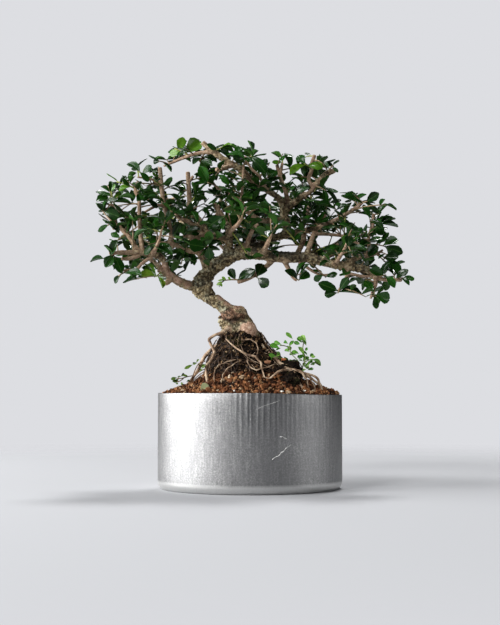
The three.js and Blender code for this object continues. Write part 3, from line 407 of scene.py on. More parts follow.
def bare_aluminium():
    """Bare drawn aluminium: a grey metal that years outdoors made matte, grainy and streaked, and a painted
    highlight on the foot.
    """
    material, tree, shader, on_piece = new_material("bare_weathered_aluminium")
    spot = add(tree, "ShaderNodeSeparateXYZ", {"Vector": on_piece}).outputs
    # The wall is unrolled, so that streaks stay upright and as wide all round.
    turn = add(tree, "ShaderNodeMath", {0: spot["X"], 1: spot["Y"]}, operation="ARCTAN2")
    round_wall = add(tree, "ShaderNodeMath", {0: turn, 1: POT_RADIUS * MM}, operation="MULTIPLY")
    wall = add(tree, "ShaderNodeCombineXYZ", {"X": round_wall, "Y": spot["Z"]})
    stretched = add(tree, "ShaderNodeMapping", {"Vector": wall, "Scale": (1, 0.09, 1)})
    brush = add(tree, "ShaderNodeTexNoise", {
        "Vector": stretched, "Scale": 520, "Detail": 3, "Roughness": 0.6}).outputs
    grain = add(tree, "ShaderNodeTexNoise", {
        "Vector": on_piece, "Scale": 620, "Detail": 4, "Roughness": 0.75}).outputs
    patch = add(tree, "ShaderNodeTexNoise", {"Vector": on_piece, "Scale": 26, "Detail": 4})
    wander = add(tree, "ShaderNodeTexNoise", {"Vector": stretched, "Scale": 40, "Detail": 3})
    # Ripples stand side by side, RIPPLE_SPACING apart, on the front of the wall under the rim.
    phase = add(tree, "ShaderNodeMath", {0: round_wall, 1: math.tau / (RIPPLE_SPACING * MM)},
                operation="MULTIPLY")
    bent = add(tree, "ShaderNodeMath", {0: wander, 1: RIPPLE_WANDER, 2: phase}, operation="MULTIPLY_ADD")
    drip = add(tree, "ShaderNodeMath", {0: bent}, operation="SINE")
    off_middle = add(tree, "ShaderNodeMath", {0: spot["X"], 1: RIPPLE_MIDDLE * MM}, operation="SUBTRACT")
    along_wall = add(tree, "ShaderNodeMapRange", {
        "Value": off_middle, "From Min": -0.036, "From Max": -0.018})
    facing = add(tree, "ShaderNodeMapRange", {
        "Value": spot["X"], "From Min": 0.02, "From Max": 0.045, "To Min": 1.0, "To Max": 0.35})
    where = add(tree, "ShaderNodeMath", {0: along_wall, 1: facing}, operation="MULTIPLY")
    upper = add(tree, "ShaderNodeMapRange", {"Value": spot["Z"], "From Min": 0.05, "From Max": 0.075})
    drips = add(tree, "ShaderNodeMapRange", {"Value": drip, "From Min": 0.2})
    reach = add(tree, "ShaderNodeMath", {0: where, 1: upper}, operation="MULTIPLY")
    stain = add(tree, "ShaderNodeMath", {0: drips, 1: reach}, operation="MULTIPLY")
    # A drawn and a grainy noise make the grey, clouds soften it, then come the stains and the painted
    # highlight of the foot.
    mixed_grain = add(tree, "ShaderNodeMix", {
        "Factor": 0.7, "A": brush["Color"], "B": grain["Color"]}, data_type="RGBA")
    tint = add(tree, "ShaderNodeValToRGB", {"Fac": mixed_grain}, stops=[
        (0.4, "#69696a"), (0.5, "#949494"), (0.6, "#c2c2c0")])
    cloudy = add(tree, "ShaderNodeMix", {
        "Factor": patch, "A": tint, "B": colour("#8e8e8f")}, data_type="RGBA")
    part = add(tree, "ShaderNodeMath", {0: stain, 1: 0.6}, operation="MULTIPLY")
    stained = add(tree, "ShaderNodeMix", {
        "Factor": part, "A": cloudy, "B": colour("#5d5e60")}, data_type="RGBA")
    # Painted highlight: the rounded foot is made paler, standing in for the pale floor that it reflects.
    foot = add(tree, "ShaderNodeMapRange", {
        "Value": spot["Z"], "From Min": 0.0075, "From Max": 0.0105, "To Min": 0.7, "To Max": 0.0})
    with_painted_foot_highlight = add(tree, "ShaderNodeMix", {
        "Factor": foot, "A": stained, "B": colour("#e6e6e4")}, data_type="RGBA")
    rough = add(tree, "ShaderNodeMapRange", {
        "Value": brush["Fac"], "From Min": 0.3, "From Max": 0.7, "To Min": 0.4, "To Max": 0.52})
    ripple = add(tree, "ShaderNodeMath", {0: drip, 1: reach}, operation="MULTIPLY")
    worked = add(tree, "ShaderNodeMath", {0: ripple, 1: 0.6, 2: grain["Fac"]}, operation="MULTIPLY_ADD")
    bump = add(tree, "ShaderNodeBump", {"Height": worked, "Strength": 0.5, "Distance": 0.0005})
    wire(tree, shader, {"Base Color": with_painted_foot_highlight, "Metallic": 1.0, "Roughness": rough, "Normal": bump})
    return material


# Scratches as seen from the front: the radius, then places as across and up, in millimetres.
SCRATCHES = [
    (0.85, [[22.3, 36.2], [24.6, 38], [27, 39.4], [28.5, 39.6], [30.1, 40.6], [31.6, 43.4], [33.4, 43.6],
            [34.9, 45], [36.2, 47.4], [38.4, 48.6], [42.1, 51.2]]),
    (0.75, [[30.6, 59.1], [33.4, 59.7], [35.4, 57.9], [38, 57.3]]),
    (0.5, [[8.5, 88.5], [16, 91.5], [24, 94], [31, 96.4]]),
]
WALL_BITE = 0.1
SCRATCH_SIDES = 4
SCRATCH_TAPER = 0.5
SCRATCH_UNEVENNESS = 0.35


def make_scratches(material):
    """Thin beads that lie half in the wall, each a chain of small four-sided tubes."""
    vertices, faces = [], []
    for radius, path in SCRATCHES:
        first = len(vertices)
        for i, (across, up) in enumerate(path):
            turn = math.asin(across / POT_RADIUS)
            outward = np.array([math.sin(turn), -math.cos(turn), 0])
            middle = outward * (POT_RADIUS - WALL_BITE) + np.array([0, 0, up])
            # Thin at both ends, and a little thinner at every second place.
            from_middle = abs(2 * i / (len(path) - 1) - 1)
            width = radius * (1 - SCRATCH_TAPER * from_middle) * (1 - SCRATCH_UNEVENNESS * (i % 2))
            vertices += [middle + outward * width, middle + np.array([0, 0, width]),
                         middle - outward * width, middle - np.array([0, 0, width])]
        last = len(vertices)
        faces += ring_faces(len(path), SCRATCH_SIDES, first)
        faces.append(tuple(reversed(range(first, first + SCRATCH_SIDES))))
        faces.append(tuple(range(last - SCRATCH_SIDES, last)))
    piece = mesh_piece("pot_scratches", vertices, faces, material)
    work = bmesh.new()
    work.from_mesh(piece.data)
    bmesh.ops.recalc_face_normals(work, faces=work.faces)
    work.to_mesh(piece.data)
    work.free()
    return piece


def bright_scratch():
    """Metal that a knock laid bare: paler than the weathered wall."""
    material, tree, shader, _ = new_material("scratched_bright_aluminium")
    wire(tree, shader, {"Base Color": colour("#e9e9e6"), "Metallic": 1.0, "Roughness": 0.6})
    return material


pot = make_pot(bare_aluminium())
scratches = make_scratches(bright_scratch())
for piece in (pot, scratches):
    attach(piece, "root")
    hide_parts("pot")
print("pot:", triangles(pot), "triangles, scratches:", triangles(scratches), "triangles")

# %% [markdown]
# ## The soil
#
# The pot is filled with fired clay granules, reddish-brown grit of 3 to 6 mm that drains well, heaped up
# towards the trunk. A few hundred of them could be placed by hand, but scattering is what Geometry Nodes
# are for: points spread evenly over the heap, and each one takes a turned and scaled chip. The chips are
# convex hulls of a few random points, which look like crushed clay and have few faces.
#
# Underneath lies a solid heap with the same height as the model's soil, so that no gap shows through.

# %% The heap of soil
SOIL_RADIUS = POT_RADIUS - POT_WALL - 0.5
SOIL_PROFILE = [
    (0, 127), (30, 126), (48, 123.5), (60, 117), (73, 110.5), (86, 106), (SOIL_RADIUS, 102.5),
]
SOIL_BOTTOM = 84
# Which noise, how fine it is, and how high its waves are.
SOIL_WAVES = [(0, 0.045, 2.2), (7, 0.13, 1.2)]
HEAP_STEPS = 96
HEAP_RINGS = 34


def height_on(profile, radius):
    """The height that a profile of radii and heights has at a radius."""
    return float(np.interp(radius, [r for r, _ in profile], [z for _, z in profile]))


def soil_height(x, y):
    """The heap's own slope, with low waves on it."""
    waves = sum(noise.noise(Vector((x, y, layer)) * fineness) * rise for layer, fineness, rise in SOIL_WAVES)
    return height_on(SOIL_PROFILE, math.hypot(x, y)) + waves


def make_heap(material):
    """Rings of vertices from the middle outwards, then a wall down to a flat bottom."""
    vertices = [(0, 0, soil_height(0, 0))]
    for i in range(1, HEAP_RINGS + 1):
        radius = SOIL_RADIUS * i / HEAP_RINGS
        for turn in turns_round(HEAP_STEPS):
            x, y = radius * math.cos(turn), radius * math.sin(turn)
            vertices.append((x, y, soil_height(x, y)))
    vertices += [(x, y, SOIL_BOTTOM) for x, y, _ in vertices[-HEAP_STEPS:]]
    faces = [(0, 1 + j, 1 + (j + 1) % HEAP_STEPS) for j in range(HEAP_STEPS)]
    for i in range(HEAP_RINGS):
        a, b = 1 + i * HEAP_STEPS, 1 + (i + 1) * HEAP_STEPS
        around = [(j, (j + 1) % HEAP_STEPS) for j in range(HEAP_STEPS)]
        faces += [(a + j, b + j, b + k, a + k) for j, k in around]
    faces.append([1 + HEAP_RINGS * HEAP_STEPS + j for j in reversed(range(HEAP_STEPS))])
    return mesh_piece("soil_heap", vertices, faces, material)


def clay_granules():
    """Fired clay grit: dull and porous, from ochre and brick red to dark brown, each chip its own."""
    material, tree, shader, on_piece = new_material("fired_clay_granules")
    tone = add(tree, "ShaderNodeAttribute", attribute_name="tone").outputs["Fac"]
    pores = add(tree, "ShaderNodeTexNoise", {
        "Vector": on_piece, "Scale": 520, "Detail": 5, "Roughness": 0.7})
    shades = add(tree, "ShaderNodeValToRGB", {"Fac": tone}, stops=[
        (0.0, "#2b1c12"), (0.22, "#5d3d2a"), (0.5, "#926144"), (0.75, "#ad7b54"), (0.92, "#bb966f"),
        (1.0, "#ddd0b8")])
    pore_tint = add(tree, "ShaderNodeValToRGB", {"Fac": pores}, stops=[
        (0.36, "#43301f"), (0.47, "#b8a898"), (0.62, "#ffffff")])
    worn = add(tree, "ShaderNodeMix", {"Factor": 1.0, "A": shades, "B": pore_tint},
               data_type="RGBA", blend_type="MULTIPLY")
    bump = add(tree, "ShaderNodeBump", {"Height": pores, "Strength": 0.7, "Distance": 0.0012})
    wire(tree, shader, {
        "Base Color": worn, "Roughness": 1.0, "Specular IOR Level": 0.15, "Normal": bump})
    return material


granule_material = clay_granules()
heap = make_heap(granule_material)
print("heap:", triangles(heap), "triangles")

# %% Chips of clay, and the tree that scatters them
CHIP_KINDS = 6
CHIP_POINTS = 13
CHIP_SQUASH = (0.6, 1.0)
CHIP_DENSITY = 400000.0
CHIP_SEED = 41
CHIP_TONE_SEED = 5
GRANULE_SEED = 3
GRIT_SEED = 8
GRANULE_SPACING = 3.9
GRANULE_SIZE = (1.5, 4.3)
RIM_GAP = 3.2
GRIT_SPACING = 2.0
GRIT_SIZE = (0.6, 1.6)
LOWEST_GRANULE = 96
LEAST_LEVEL = 0.2


def make_chip(name, draw):
    """The hull of random points on a squashed ball, in units of its own radius."""
    work = bmesh.new()
    wide, high = draw(*CHIP_SQUASH), draw(*CHIP_SQUASH)
    for _ in range(CHIP_POINTS):
        spot = Vector((draw(-1, 1), draw(-1, 1), draw(-1, 1))).normalized()
        work.verts.new((spot.x, spot.y * wide, spot.z * high))
    hull = bmesh.ops.convex_hull(work, input=work.verts)
    bmesh.ops.delete(work, geom=[v for v in hull["geom_interior"] if isinstance(v, bmesh.types.BMVert)],
                     context="VERTS")
    bmesh.ops.recalc_face_normals(work, faces=work.faces)
    return bpy.data.objects.new(name, mesh_of(work, name))


def pattern_collection(name, patterns):
    collection = bpy.data.collections.new(name)
    for pattern in patterns:
        collection.objects.link(pattern)
    bpy.context.scene.collection.children.link(collection)
    return collection


def drop_patterns(collection):
    for pattern in list(collection.objects):
        bpy.data.objects.remove(pattern)
    bpy.data.collections.remove(collection)


def new_node_group(name, inputs):
    """An empty geometry tree with named inputs. Returns it with each input's identifier."""
    group = bpy.data.node_groups.new(name, "GeometryNodeTree")
    group.interface.new_socket("Geometry", in_out="INPUT", socket_type="NodeSocketGeometry")
    group.interface.new_socket("Geometry", in_out="OUTPUT", socket_type="NodeSocketGeometry")
    named = {}
    for socket_name, kind in inputs.items():
        socket = group.interface.new_socket(socket_name, in_out="INPUT", socket_type=kind)
        named[socket_name] = socket.identifier
    return group, named


def run_nodes(piece, group, named, values):
    """Puts a geometry tree on a piece, sets its inputs, and turns the result into a plain mesh."""
    modifier = piece.modifiers.new(group.name, "NODES")
    modifier.node_group = group
    for socket_name, value in values.items():
        modifier[named[socket_name]] = value
    return baked(piece)


def scatter_tree():
    """Points spread over a surface, each with a chip that is turned, scaled and toned at random."""
    group, named = new_node_group("scatter_chips", {
        "Chips": "NodeSocketCollection", "Spacing": "NodeSocketFloat", "Smallest": "NodeSocketFloat",
        "Largest": "NodeSocketFloat", "Seed": "NodeSocketInt", "Material": "NodeSocketMaterial"})
    given = add(group, "NodeGroupInput").outputs
    spread = add(group, "GeometryNodeDistributePointsOnFaces", {
        "Mesh": given["Geometry"], "Distance Min": given["Spacing"], "Density Max": CHIP_DENSITY,
        "Seed": given["Seed"]}, distribute_method="POISSON")
    kinds = add(group, "GeometryNodeCollectionInfo", {
        "Collection": given["Chips"], "Separate Children": True, "Reset Children": True})
    turn = add(group, "FunctionNodeRandomValue", {
        "Min": (0, 0, 0), "Max": (math.tau, math.tau, math.tau), "Seed": given["Seed"]},
        data_type="FLOAT_VECTOR")
    size = add(group, "FunctionNodeRandomValue", {
        2: given["Smallest"], 3: given["Largest"], "Seed": given["Seed"]}, data_type="FLOAT")
    placed = add(group, "GeometryNodeInstanceOnPoints", {
        "Points": spread, "Instance": kinds, "Pick Instance": True, "Rotation": turn, "Scale": size})
    tone = add(group, "FunctionNodeRandomValue", {
        2: 0.0, 3: 1.0, "Seed": CHIP_TONE_SEED}, data_type="FLOAT")
    toned = add(group, "GeometryNodeStoreNamedAttribute", {
        "Geometry": placed, "Name": "tone", "Value": tone}, data_type="FLOAT", domain="INSTANCE")
    real = add(group, "GeometryNodeRealizeInstances", {"Geometry": toned})
    painted = add(group, "GeometryNodeSetMaterial", {"Geometry": real, "Material": given["Material"]})
    add(group, "NodeGroupOutput", {"Geometry": painted})
    return group, named


def top_of(piece, name, lowest_mm, widest_mm):
    """A copy of the upward faces of a piece, to scatter things on."""
    work = bmesh.new()
    work.from_mesh(piece.data)
    away = [face for face in work.faces
            if face.normal.z < LEAST_LEVEL or face.calc_center_median().z < lowest_mm * MM
            or face.calc_center_median().xy.length > widest_mm * MM]
    bmesh.ops.delete(work, geom=away, context="FACES")
    return put_in_scene(name, mesh_of(work, name))


def scatter_chips(surface, spacing_mm, sizes_mm, seed, material):
    """Sets chips on a surface, no closer to each other than the spacing."""
    smallest, largest = sizes_mm
    run_nodes(surface, scatter, scatter_inputs, {
        "Chips": chips, "Spacing": spacing_mm * MM, "Smallest": smallest * MM, "Largest": largest * MM,
        "Seed": seed, "Material": material})


chip_draw = seeded_numbers(CHIP_SEED)
chips = pattern_collection("chips", [make_chip(f"chip_{i}", chip_draw) for i in range(CHIP_KINDS)])
scatter, scatter_inputs = scatter_tree()
granules = top_of(heap, "soil_granules", LOWEST_GRANULE, SOIL_RADIUS - RIM_GAP)
scatter_chips(granules, GRANULE_SPACING, GRANULE_SIZE, GRANULE_SEED, granule_material)
grit = top_of(heap, "soil_grit", LOWEST_GRANULE, SOIL_RADIUS)
scatter_chips(grit, GRIT_SPACING, GRIT_SIZE, GRIT_SEED, granule_material)
for piece in (heap, granules, grit):
    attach(piece, "root")
    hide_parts("soil")
print("granules:", triangles(granules), "grit:", triangles(grit), "triangles")

# %% [markdown]
# ## The root ball
#
# When this tree was lifted and set on its heap, the old peat and fibre stayed between its roots as a
# dark, crumbly clump. A sculpted lump would do, but a ring-by-ring form that follows the model's clump,
# roughened by noise, keeps it where the roots lie. Old fine roots run down over it in every direction,
# and Geometry Nodes scatter crumbs of peat on it with the same tree as the clay.

# %% The clump of peat
# Heights, with the middle of the clump across and its radius there.
BALL_PROFILE = [
    (108, 1, 56), (119, 1, 53), (129, 1, 49), (140, -5, 41), (155, -9, 31), (171, -10, 21), (177, -10, 4),
]
BALL_DEPTH_RATIO = 0.88
CLUMP_BOTTOM = 108
CLUMP_TOP = 177
CLUMP_STEPS = 150
CLUMP_RINGS = 74
CRUMB_SPACING = 2.5
CRUMB_SIZE = (0.6, 2.8)
CRUMB_SEED = 11
LOWEST_CRUMB = 110
# Peat noise: how each finer layer weakens, how much finer it is, and how many layers there are.
PEAT_LAYERS = (0.7, 2.1, 5)
LUMP_LAYERS = (0.7, 2.1, 4)
LUMP_FINENESS = 0.09
LUMP_HEIGHT = 3.6
PIT_FINENESS = 0.21
PIT_DEPTH = 3.2
PIT_FROM = 0.12
PIT_OFFSET = Vector((5, 3, 9))


def ball_point(height, turn, extra=0.0):
    """A place on the clump, or a little above its surface."""
    heights = [h for h, _, _ in BALL_PROFILE]
    centre = float(np.interp(height, heights, [c for _, c, _ in BALL_PROFILE]))
    radius = float(np.interp(height, heights, [r for _, _, r in BALL_PROFILE])) + extra
    return Vector((
        centre + radius * math.cos(turn), radius * math.sin(turn) * BALL_DEPTH_RATIO, height))


def make_clump(material):
    vertices = []
    for i in range(CLUMP_RINGS + 1):
        height = CLUMP_BOTTOM + (CLUMP_TOP - CLUMP_BOTTOM) * i / CLUMP_RINGS
        for turn in turns_round(CLUMP_STEPS):
            spot = ball_point(height, turn)
            lump = noise.fractal(spot * LUMP_FINENESS, *PEAT_LAYERS) * LUMP_HEIGHT - LUMP_HEIGHT / 2
            pit = noise.noise(spot * PIT_FINENESS + PIT_OFFSET) - PIT_FROM
            lump -= PIT_DEPTH * max(0, pit)
            vertices.append(ball_point(height, turn, lump))
    faces = ring_faces(CLUMP_RINGS + 1, CLUMP_STEPS)
    faces.append(list(reversed(range(CLUMP_STEPS))))
    faces.append([CLUMP_RINGS * CLUMP_STEPS + j for j in range(CLUMP_STEPS)])
    return mesh_piece("peat_clump", vertices, faces, material)


def crumbly_peat():
    """Old peat: nearly black, dull, with rusty and pale crumbs and a little moss."""
    material, tree, shader, on_piece = new_material("crumbly_peat")
    tone = add(tree, "ShaderNodeAttribute", attribute_name="tone").outputs["Fac"]
    crumbs = add(tree, "ShaderNodeTexNoise", {
        "Vector": on_piece, "Scale": 380, "Detail": 6, "Roughness": 0.75})
    patches = add(tree, "ShaderNodeTexNoise", {"Vector": on_piece, "Scale": 60, "Detail": 3})
    lift = add(tree, "ShaderNodeMath", {0: tone, 1: 0.24, 2: crumbs}, operation="MULTIPLY_ADD")
    low = add(tree, "ShaderNodeMath", {0: lift, 1: 0.1}, operation="SUBTRACT")
    brown = add(tree, "ShaderNodeValToRGB", {"Fac": low}, stops=[
        (0.4, "#120c08"), (0.51, "#35271c"), (0.61, "#6d5239"), (0.7, "#a58562"), (0.78, "#d8c7a8")])
    moss = add(tree, "ShaderNodeValToRGB", {"Fac": patches}, stops=[(0.58, "#000000"), (0.68, "#8f8f8f")])
    mixed = add(tree, "ShaderNodeMix", {
        "Factor": moss, "A": brown, "B": colour("#4a5024")}, data_type="RGBA")
    bump = add(tree, "ShaderNodeBump", {"Height": crumbs, "Strength": 1.0, "Distance": 0.002})
    wire(tree, shader, {
        "Base Color": mixed, "Roughness": 1.0, "Specular IOR Level": 0.15, "Normal": bump})
    return material


def side_lump(name, middle, radius, material):
    """A smaller lump of peat beside the clump, held by its own roots."""
    work = bmesh.new()
    bmesh.ops.create_icosphere(work, subdivisions=4, radius=1)
    for vertex in work.verts:
        lump = 1 + 0.3 * noise.fractal(vertex.co * 2.2 + Vector(middle), *LUMP_LAYERS)
        vertex.co = (Vector(middle) + vertex.co * radius * lump) * MM
    piece = put_in_scene(name, mesh_of(work, name))
    piece.data.materials.append(material)
    return piece


# The middle and the radius of each.
SIDE_LUMPS = {"peat_lump_low": ((43, -47, 115), 11), "peat_lump_high": ((42, -24, 124), 15)}
peat = crumbly_peat()
clump = make_clump(peat)
side_lumps = [side_lump(name, middle, radius, peat) for name, (middle, radius) in SIDE_LUMPS.items()]
crumbs = top_of(clump, "peat_crumbs", LOWEST_CRUMB, SOIL_RADIUS)
scatter_chips(crumbs, CRUMB_SPACING, CRUMB_SIZE, CRUMB_SEED, peat)
drop_patterns(chips)
for piece in (clump, crumbs, *side_lumps):
    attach(piece, "root")
    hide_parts("root_ball")
print("clump and crumbs:", triangles(clump) + triangles(crumbs), "triangles")

# %% [markdown]
# ## The wood: where it grows
#
# The trunk leans left out of its roots, then one limb sweeps far to the right and others rise as
# upright, often cut, stubs. A tree like this is best held as a list of places along each limb with the
# wood's radius there, the way a wire skeleton is drawn before clay goes on it. The places are written as
# seen from the front, `[across, up, depth, radius]` in millimetres, and `place` puts them into the room:
# what lies behind the pot's axis is really a little further out than it looks.
#
# These are the lists that the solids were made from, with the front roots drawn thinner. The fine twigs
# are added here alone.

# %% The limbs as seen from the front
TRUNK = [
    [[-11, 150, 4, 15], [-11, 162, 3, 18.5], [-13, 174, 1, 18.6], [-17, 182, -1, 17],
        [-20, 189, -3, 17.4], [-22.5, 194, -3, 11.5], [-24, 198, -3, 5]],
    [[-17, 190, -3, 11], [-25, 195, -3, 8], [-31, 200.5, -2, 7.2], [-40.5, 206.5, 0, 8],
        [-49, 213.5, 2, 9.3], [-54.5, 220, 3, 11.3], [-54, 228, 3, 8.6], [-50, 236, 3, 6.5]],
    [[-12, 181, -8, 7], [-2, 176, -13, 8.6], [3, 169, -12, 6.8], [8, 163, -8, 5]],
    [[-13, 195, -3, 5], [-7, 196.5, -4, 3.2]],
    [[-50, 225, -1, 5.5], [-42, 222, -4, 4.2]],
]
RIGHT_LIMBS = [
    [[-54, 226, 3, 9.6], [-48, 233, 3, 8.3], [-43, 239, 2, 8], [-33, 247, -1, 8], [-14, 257, -6, 8],
        [8, 258, -12, 7.2], [34, 254, -17, 6.5], [64, 253, -21, 6.1], [92, 246, -24, 5.1],
        [123, 241, -26, 5], [134, 237, -27, 3.8], [143, 230, -28, 2.6], [168, 228, -28, 1.9]],
    [[104, 245, -25, 3.8], [112, 250, -24, 3.6], [121, 254, -22, 3.2], [130, 255, -19, 2.4],
        [141, 258, -16, 1.8], [147, 262, -14, 1.4]],
    [[136, 235, -27, 2.6], [139, 225, -29, 2.2], [136, 217, -30, 1.8], [133, 208, -31, 1.3]],
    [[107, 242, -26, 3.2], [107, 231, -29, 2.8], [102, 222, -31, 2.2], [97, 216, -33, 1.6]],
    [[37, 251, -18, 3.2], [43, 240, -22, 2.6], [48, 231, -25, 2.2], [52, 228, -26, 1.8]],
    [[24, 249, -14, 3.2], [13, 239, -16, 2.8], [3, 233, -18, 2.8], [-5, 229, -19, 2.7],
        [-14, 226, -20, 2.4]],
]
CENTRE_LIMBS = [
    [[-30, 250, -2, 5.4], [-25, 261, -6, 4.8], [-23, 269, -9, 4.6], [-23, 281, -12, 4.4],
        [-25, 292, -13, 4], [-31, 300, -14, 3.4], [-37, 308, -14, 2.6], [-39, 314, -14, 1.8]],
    [[-23, 272, -10, 3.8], [-31, 275, -12, 3.4], [-41, 278, -14, 3.4], [-50, 280, -15, 3.9],
        [-66, 292, -16, 2.8], [-75, 296, -16, 2.5], [-82, 301, -15, 2]],
    [[-47, 279, -14, 3.6], [-52, 288, -13, 4.2], [-59, 297, -10, 4.4], [-66, 305, -8, 3.8],
        [-67, 317, -6, 3], [-68, 333, -5, 2.8], [-69, 349, -5, 2.6]],
    [[-50, 279, -15, 3.2], [-59, 275, -17, 2.8], [-70, 277, -19, 2.2], [-78, 275, -21, 1.6]],
    [[-5, 260, -8, 4], [-2, 273, -14, 2.6], [4, 286, -20, 2.4], [9, 291, -22, 2]],
]
UPPER_LIMBS = [
    [[-6, 258, -7, 6], [7, 266, 2, 5], [22, 274, 12, 4.5], [38, 278, 20, 4.6], [55, 282, 26, 4],
        [68, 285, 30, 3.6], [77, 293, 33, 3], [84, 303, 36, 2.2]],
    [[50, 252, -18, 4], [55, 263, -10, 3.2], [59, 272, 2, 3], [60, 282, 24, 2.8]],
    [[62, 255, -20, 4], [67, 269, -14, 3], [70, 278, -6, 2.8], [74, 286, 0, 2.8], [86, 291, 0, 2.6],
        [97, 296, -4, 2.5], [107, 302, -8, 2.4], [118, 309, -12, 2.3], [125, 316, -14, 2.2]],
    [[38, 278, 20, 4.6], [41, 289, 16, 5], [38, 301, 12, 5], [33, 318, 6, 3.7], [16, 330, -2, 3.4],
        [0, 341, -8, 3.4], [-11, 352, -12, 4], [-31, 364, -14, 3.8], [-53, 382, -12, 3]],
    [[-20, 356, -14, 3], [-30, 353, -22, 2.6], [-38, 351, -28, 2.4]],
    [[-40, 371, -13, 2.8], [-55, 370, -8, 2.3], [-70, 366, -3, 2.1], [-96, 355, 6, 1.3]],
    [[36, 297, 11, 3.6], [16, 294, -4, 3], [0, 302, -14, 2.8], [-8, 312, -20, 2.4], [-9, 327, -22, 1.7],
        [-8, 341, -23, 1.5], [-7, 357, -24, 1.2]],
    [[-8, 313, -20, 2], [-20, 322, -18, 1.7], [-37, 331, -20, 1.4]],
    [[16, 332, -2, 2], [10, 344, -12, 1.5], [1, 353, -18, 1.3], [-5, 366, -28, 1.1]],
    [[38, 304, 11, 4], [41, 315, 9, 3], [39, 329, 8, 2.6], [35, 338, 7, 2.5], [32, 347, 6, 2.4],
        [30, 357, 5, 2.1]],
    [[39, 306, 11, 4.4], [52, 317, 3, 4], [60, 323, -3, 3.5]],
    [[50, 315, 4, 3.2], [66, 326, 9, 2.6], [70, 331, 10, 2.5], [65, 340, 12, 2.4], [68, 350, 11, 2.4],
        [69, 359, 10, 2.4], [72, 368, 9, 2.2]],
    [[69, 330, 10, 2.6], [76, 338, 12, 3.2], [83, 345, 13, 4], [89, 349, 13, 3.6], [95, 350, 13, 2.5]],
    [[129, 254, -19, 2.4], [132, 266, -12, 2], [131, 275, -8, 2], [135, 287, -6, 2.2],
        [137, 302, -5, 1.9]],
    [[70, 280, -5, 2.4], [88, 279, 2, 1.8], [104, 277, 0, 1.7], [112, 273, -2, 1.6], [119, 269, -5, 1.4],
        [126, 266, -7, 1.1]],
]
LEFT_LIMBS = [
    [[-54, 222, 3, 8], [-66, 222, -2, 5.8], [-77, 226, -8, 5.2], [-88, 233, -14, 4.5],
        [-96, 238, -18, 4], [-102, 240, -20, 3]],
    [[-85, 231, -12, 3.2], [-91, 226, -15, 3.2], [-94, 224, -17, 2.4]],
    [[-92, 236, -17, 4.2], [-94, 248, -22, 3.9], [-101, 255, -27, 3.9], [-116, 258, -34, 3.4],
        [-138, 259, -41, 2.9], [-156, 258, -47, 1.6]],
    [[-122, 256, -36, 2.8], [-134, 252, -38, 2.2], [-142, 252, -40, 1.7]],
    [[-106, 256, -29, 2.4], [-119, 247, -34, 1.8], [-126, 240, -37, 1.8], [-141, 239, -40, 1.3]],
    [[-113, 258, -33, 3], [-125, 263, -34, 2.9], [-134, 277, -33, 2.8], [-152, 294, -31, 2.5],
        [-165, 308, -29, 1.2]],
    [[-150, 291, -31, 2], [-147, 304, -32, 1.6], [-150, 311, -32, 1.5], [-157, 312, -32, 1.3]],
    [[-119, 259, -34, 2.8], [-122, 289, -32, 2.4], [-123, 317, -30, 2.1], [-127, 328, -30, 2.2],
        [-124, 338, -30, 1.7]],
    [[-48, 240, 0, 4.6], [-52, 250, -6, 3.4], [-58, 259, -11, 3], [-66, 260, -15, 2.9],
        [-74, 264, -18, 2.7], [-86, 268, -22, 2.8], [-99, 269, -24, 2.3], [-108, 267, -26, 1.7]],
    [[-87, 262, -22, 1.9], [-87, 268, -22, 2.9], [-88, 286, -22, 2.7], [-96, 316, -22, 2.8],
        [-100, 354, -23, 2.5]],
    [[-98, 335, -23, 1.9], [-105, 338, -25, 1.5], [-110, 341, -27, 1.3], [-125, 343, -30, 1]],
    [[-94, 310, -22, 2.2], [-103, 311, -26, 1.6], [-118, 303, -31, 1.2]],
]
BACK_LIMBS = [
    [[-50, 234, 5, 6.5], [-44, 245, 18, 5.6], [-52, 257, 32, 5.2], [-62, 268, 44, 4.8],
        [-70, 285, 60, 3.8], [-80, 300, 74, 2.6], [-88, 312, 84, 1.6]],
    [[-10, 258, -3, 6], [0, 268, 18, 4.8], [6, 282, 40, 4], [8, 298, 60, 3.2], [6, 314, 76, 2.2],
        [2, 328, 88, 1.4]],
    [[60, 253, -18, 5], [70, 258, 0, 4.2], [82, 262, 24, 3.6], [92, 266, 46, 3], [100, 272, 66, 2.4],
        [108, 280, 84, 1.5]],
    [[-86, 232, -13, 4.2], [-98, 240, 4, 3.4], [-108, 250, 22, 3], [-120, 262, 40, 2.4],
        [-130, 276, 54, 1.6]],
    [[54, 282, 26, 3.8], [60, 292, 44, 3], [64, 304, 60, 2.4], [66, 318, 72, 1.6]],
    [[1, 270, 20, 4], [-16, 262, 40, 3], [-26, 262, 60, 2.4], [-34, 268, 78, 1.6]],
    [[-62, 268, 42, 4], [-46, 284, 54, 3], [-36, 302, 62, 2.4], [-32, 322, 66, 1.6]],
]
FRONT_LIMBS = [
    [[13, 258, -14, 4.2], [16, 262, -32, 3.2], [20, 270, -50, 2.6], [24, 280, -66, 1.6]],
    [[-23, 281, -12, 3.6], [-20, 284, -30, 2.8], [-14, 290, -48, 2.2], [-8, 298, -62, 1.5]],
    [[94, 246, -24, 3.6], [98, 252, -42, 2.4], [104, 262, -58, 1.8], [108, 272, -70, 1.3]],
    [[-108, 257, -30, 3.2], [-104, 264, -46, 2.2], [-100, 274, -60, 1.6], [-98, 284, -70, 1.2]],
]
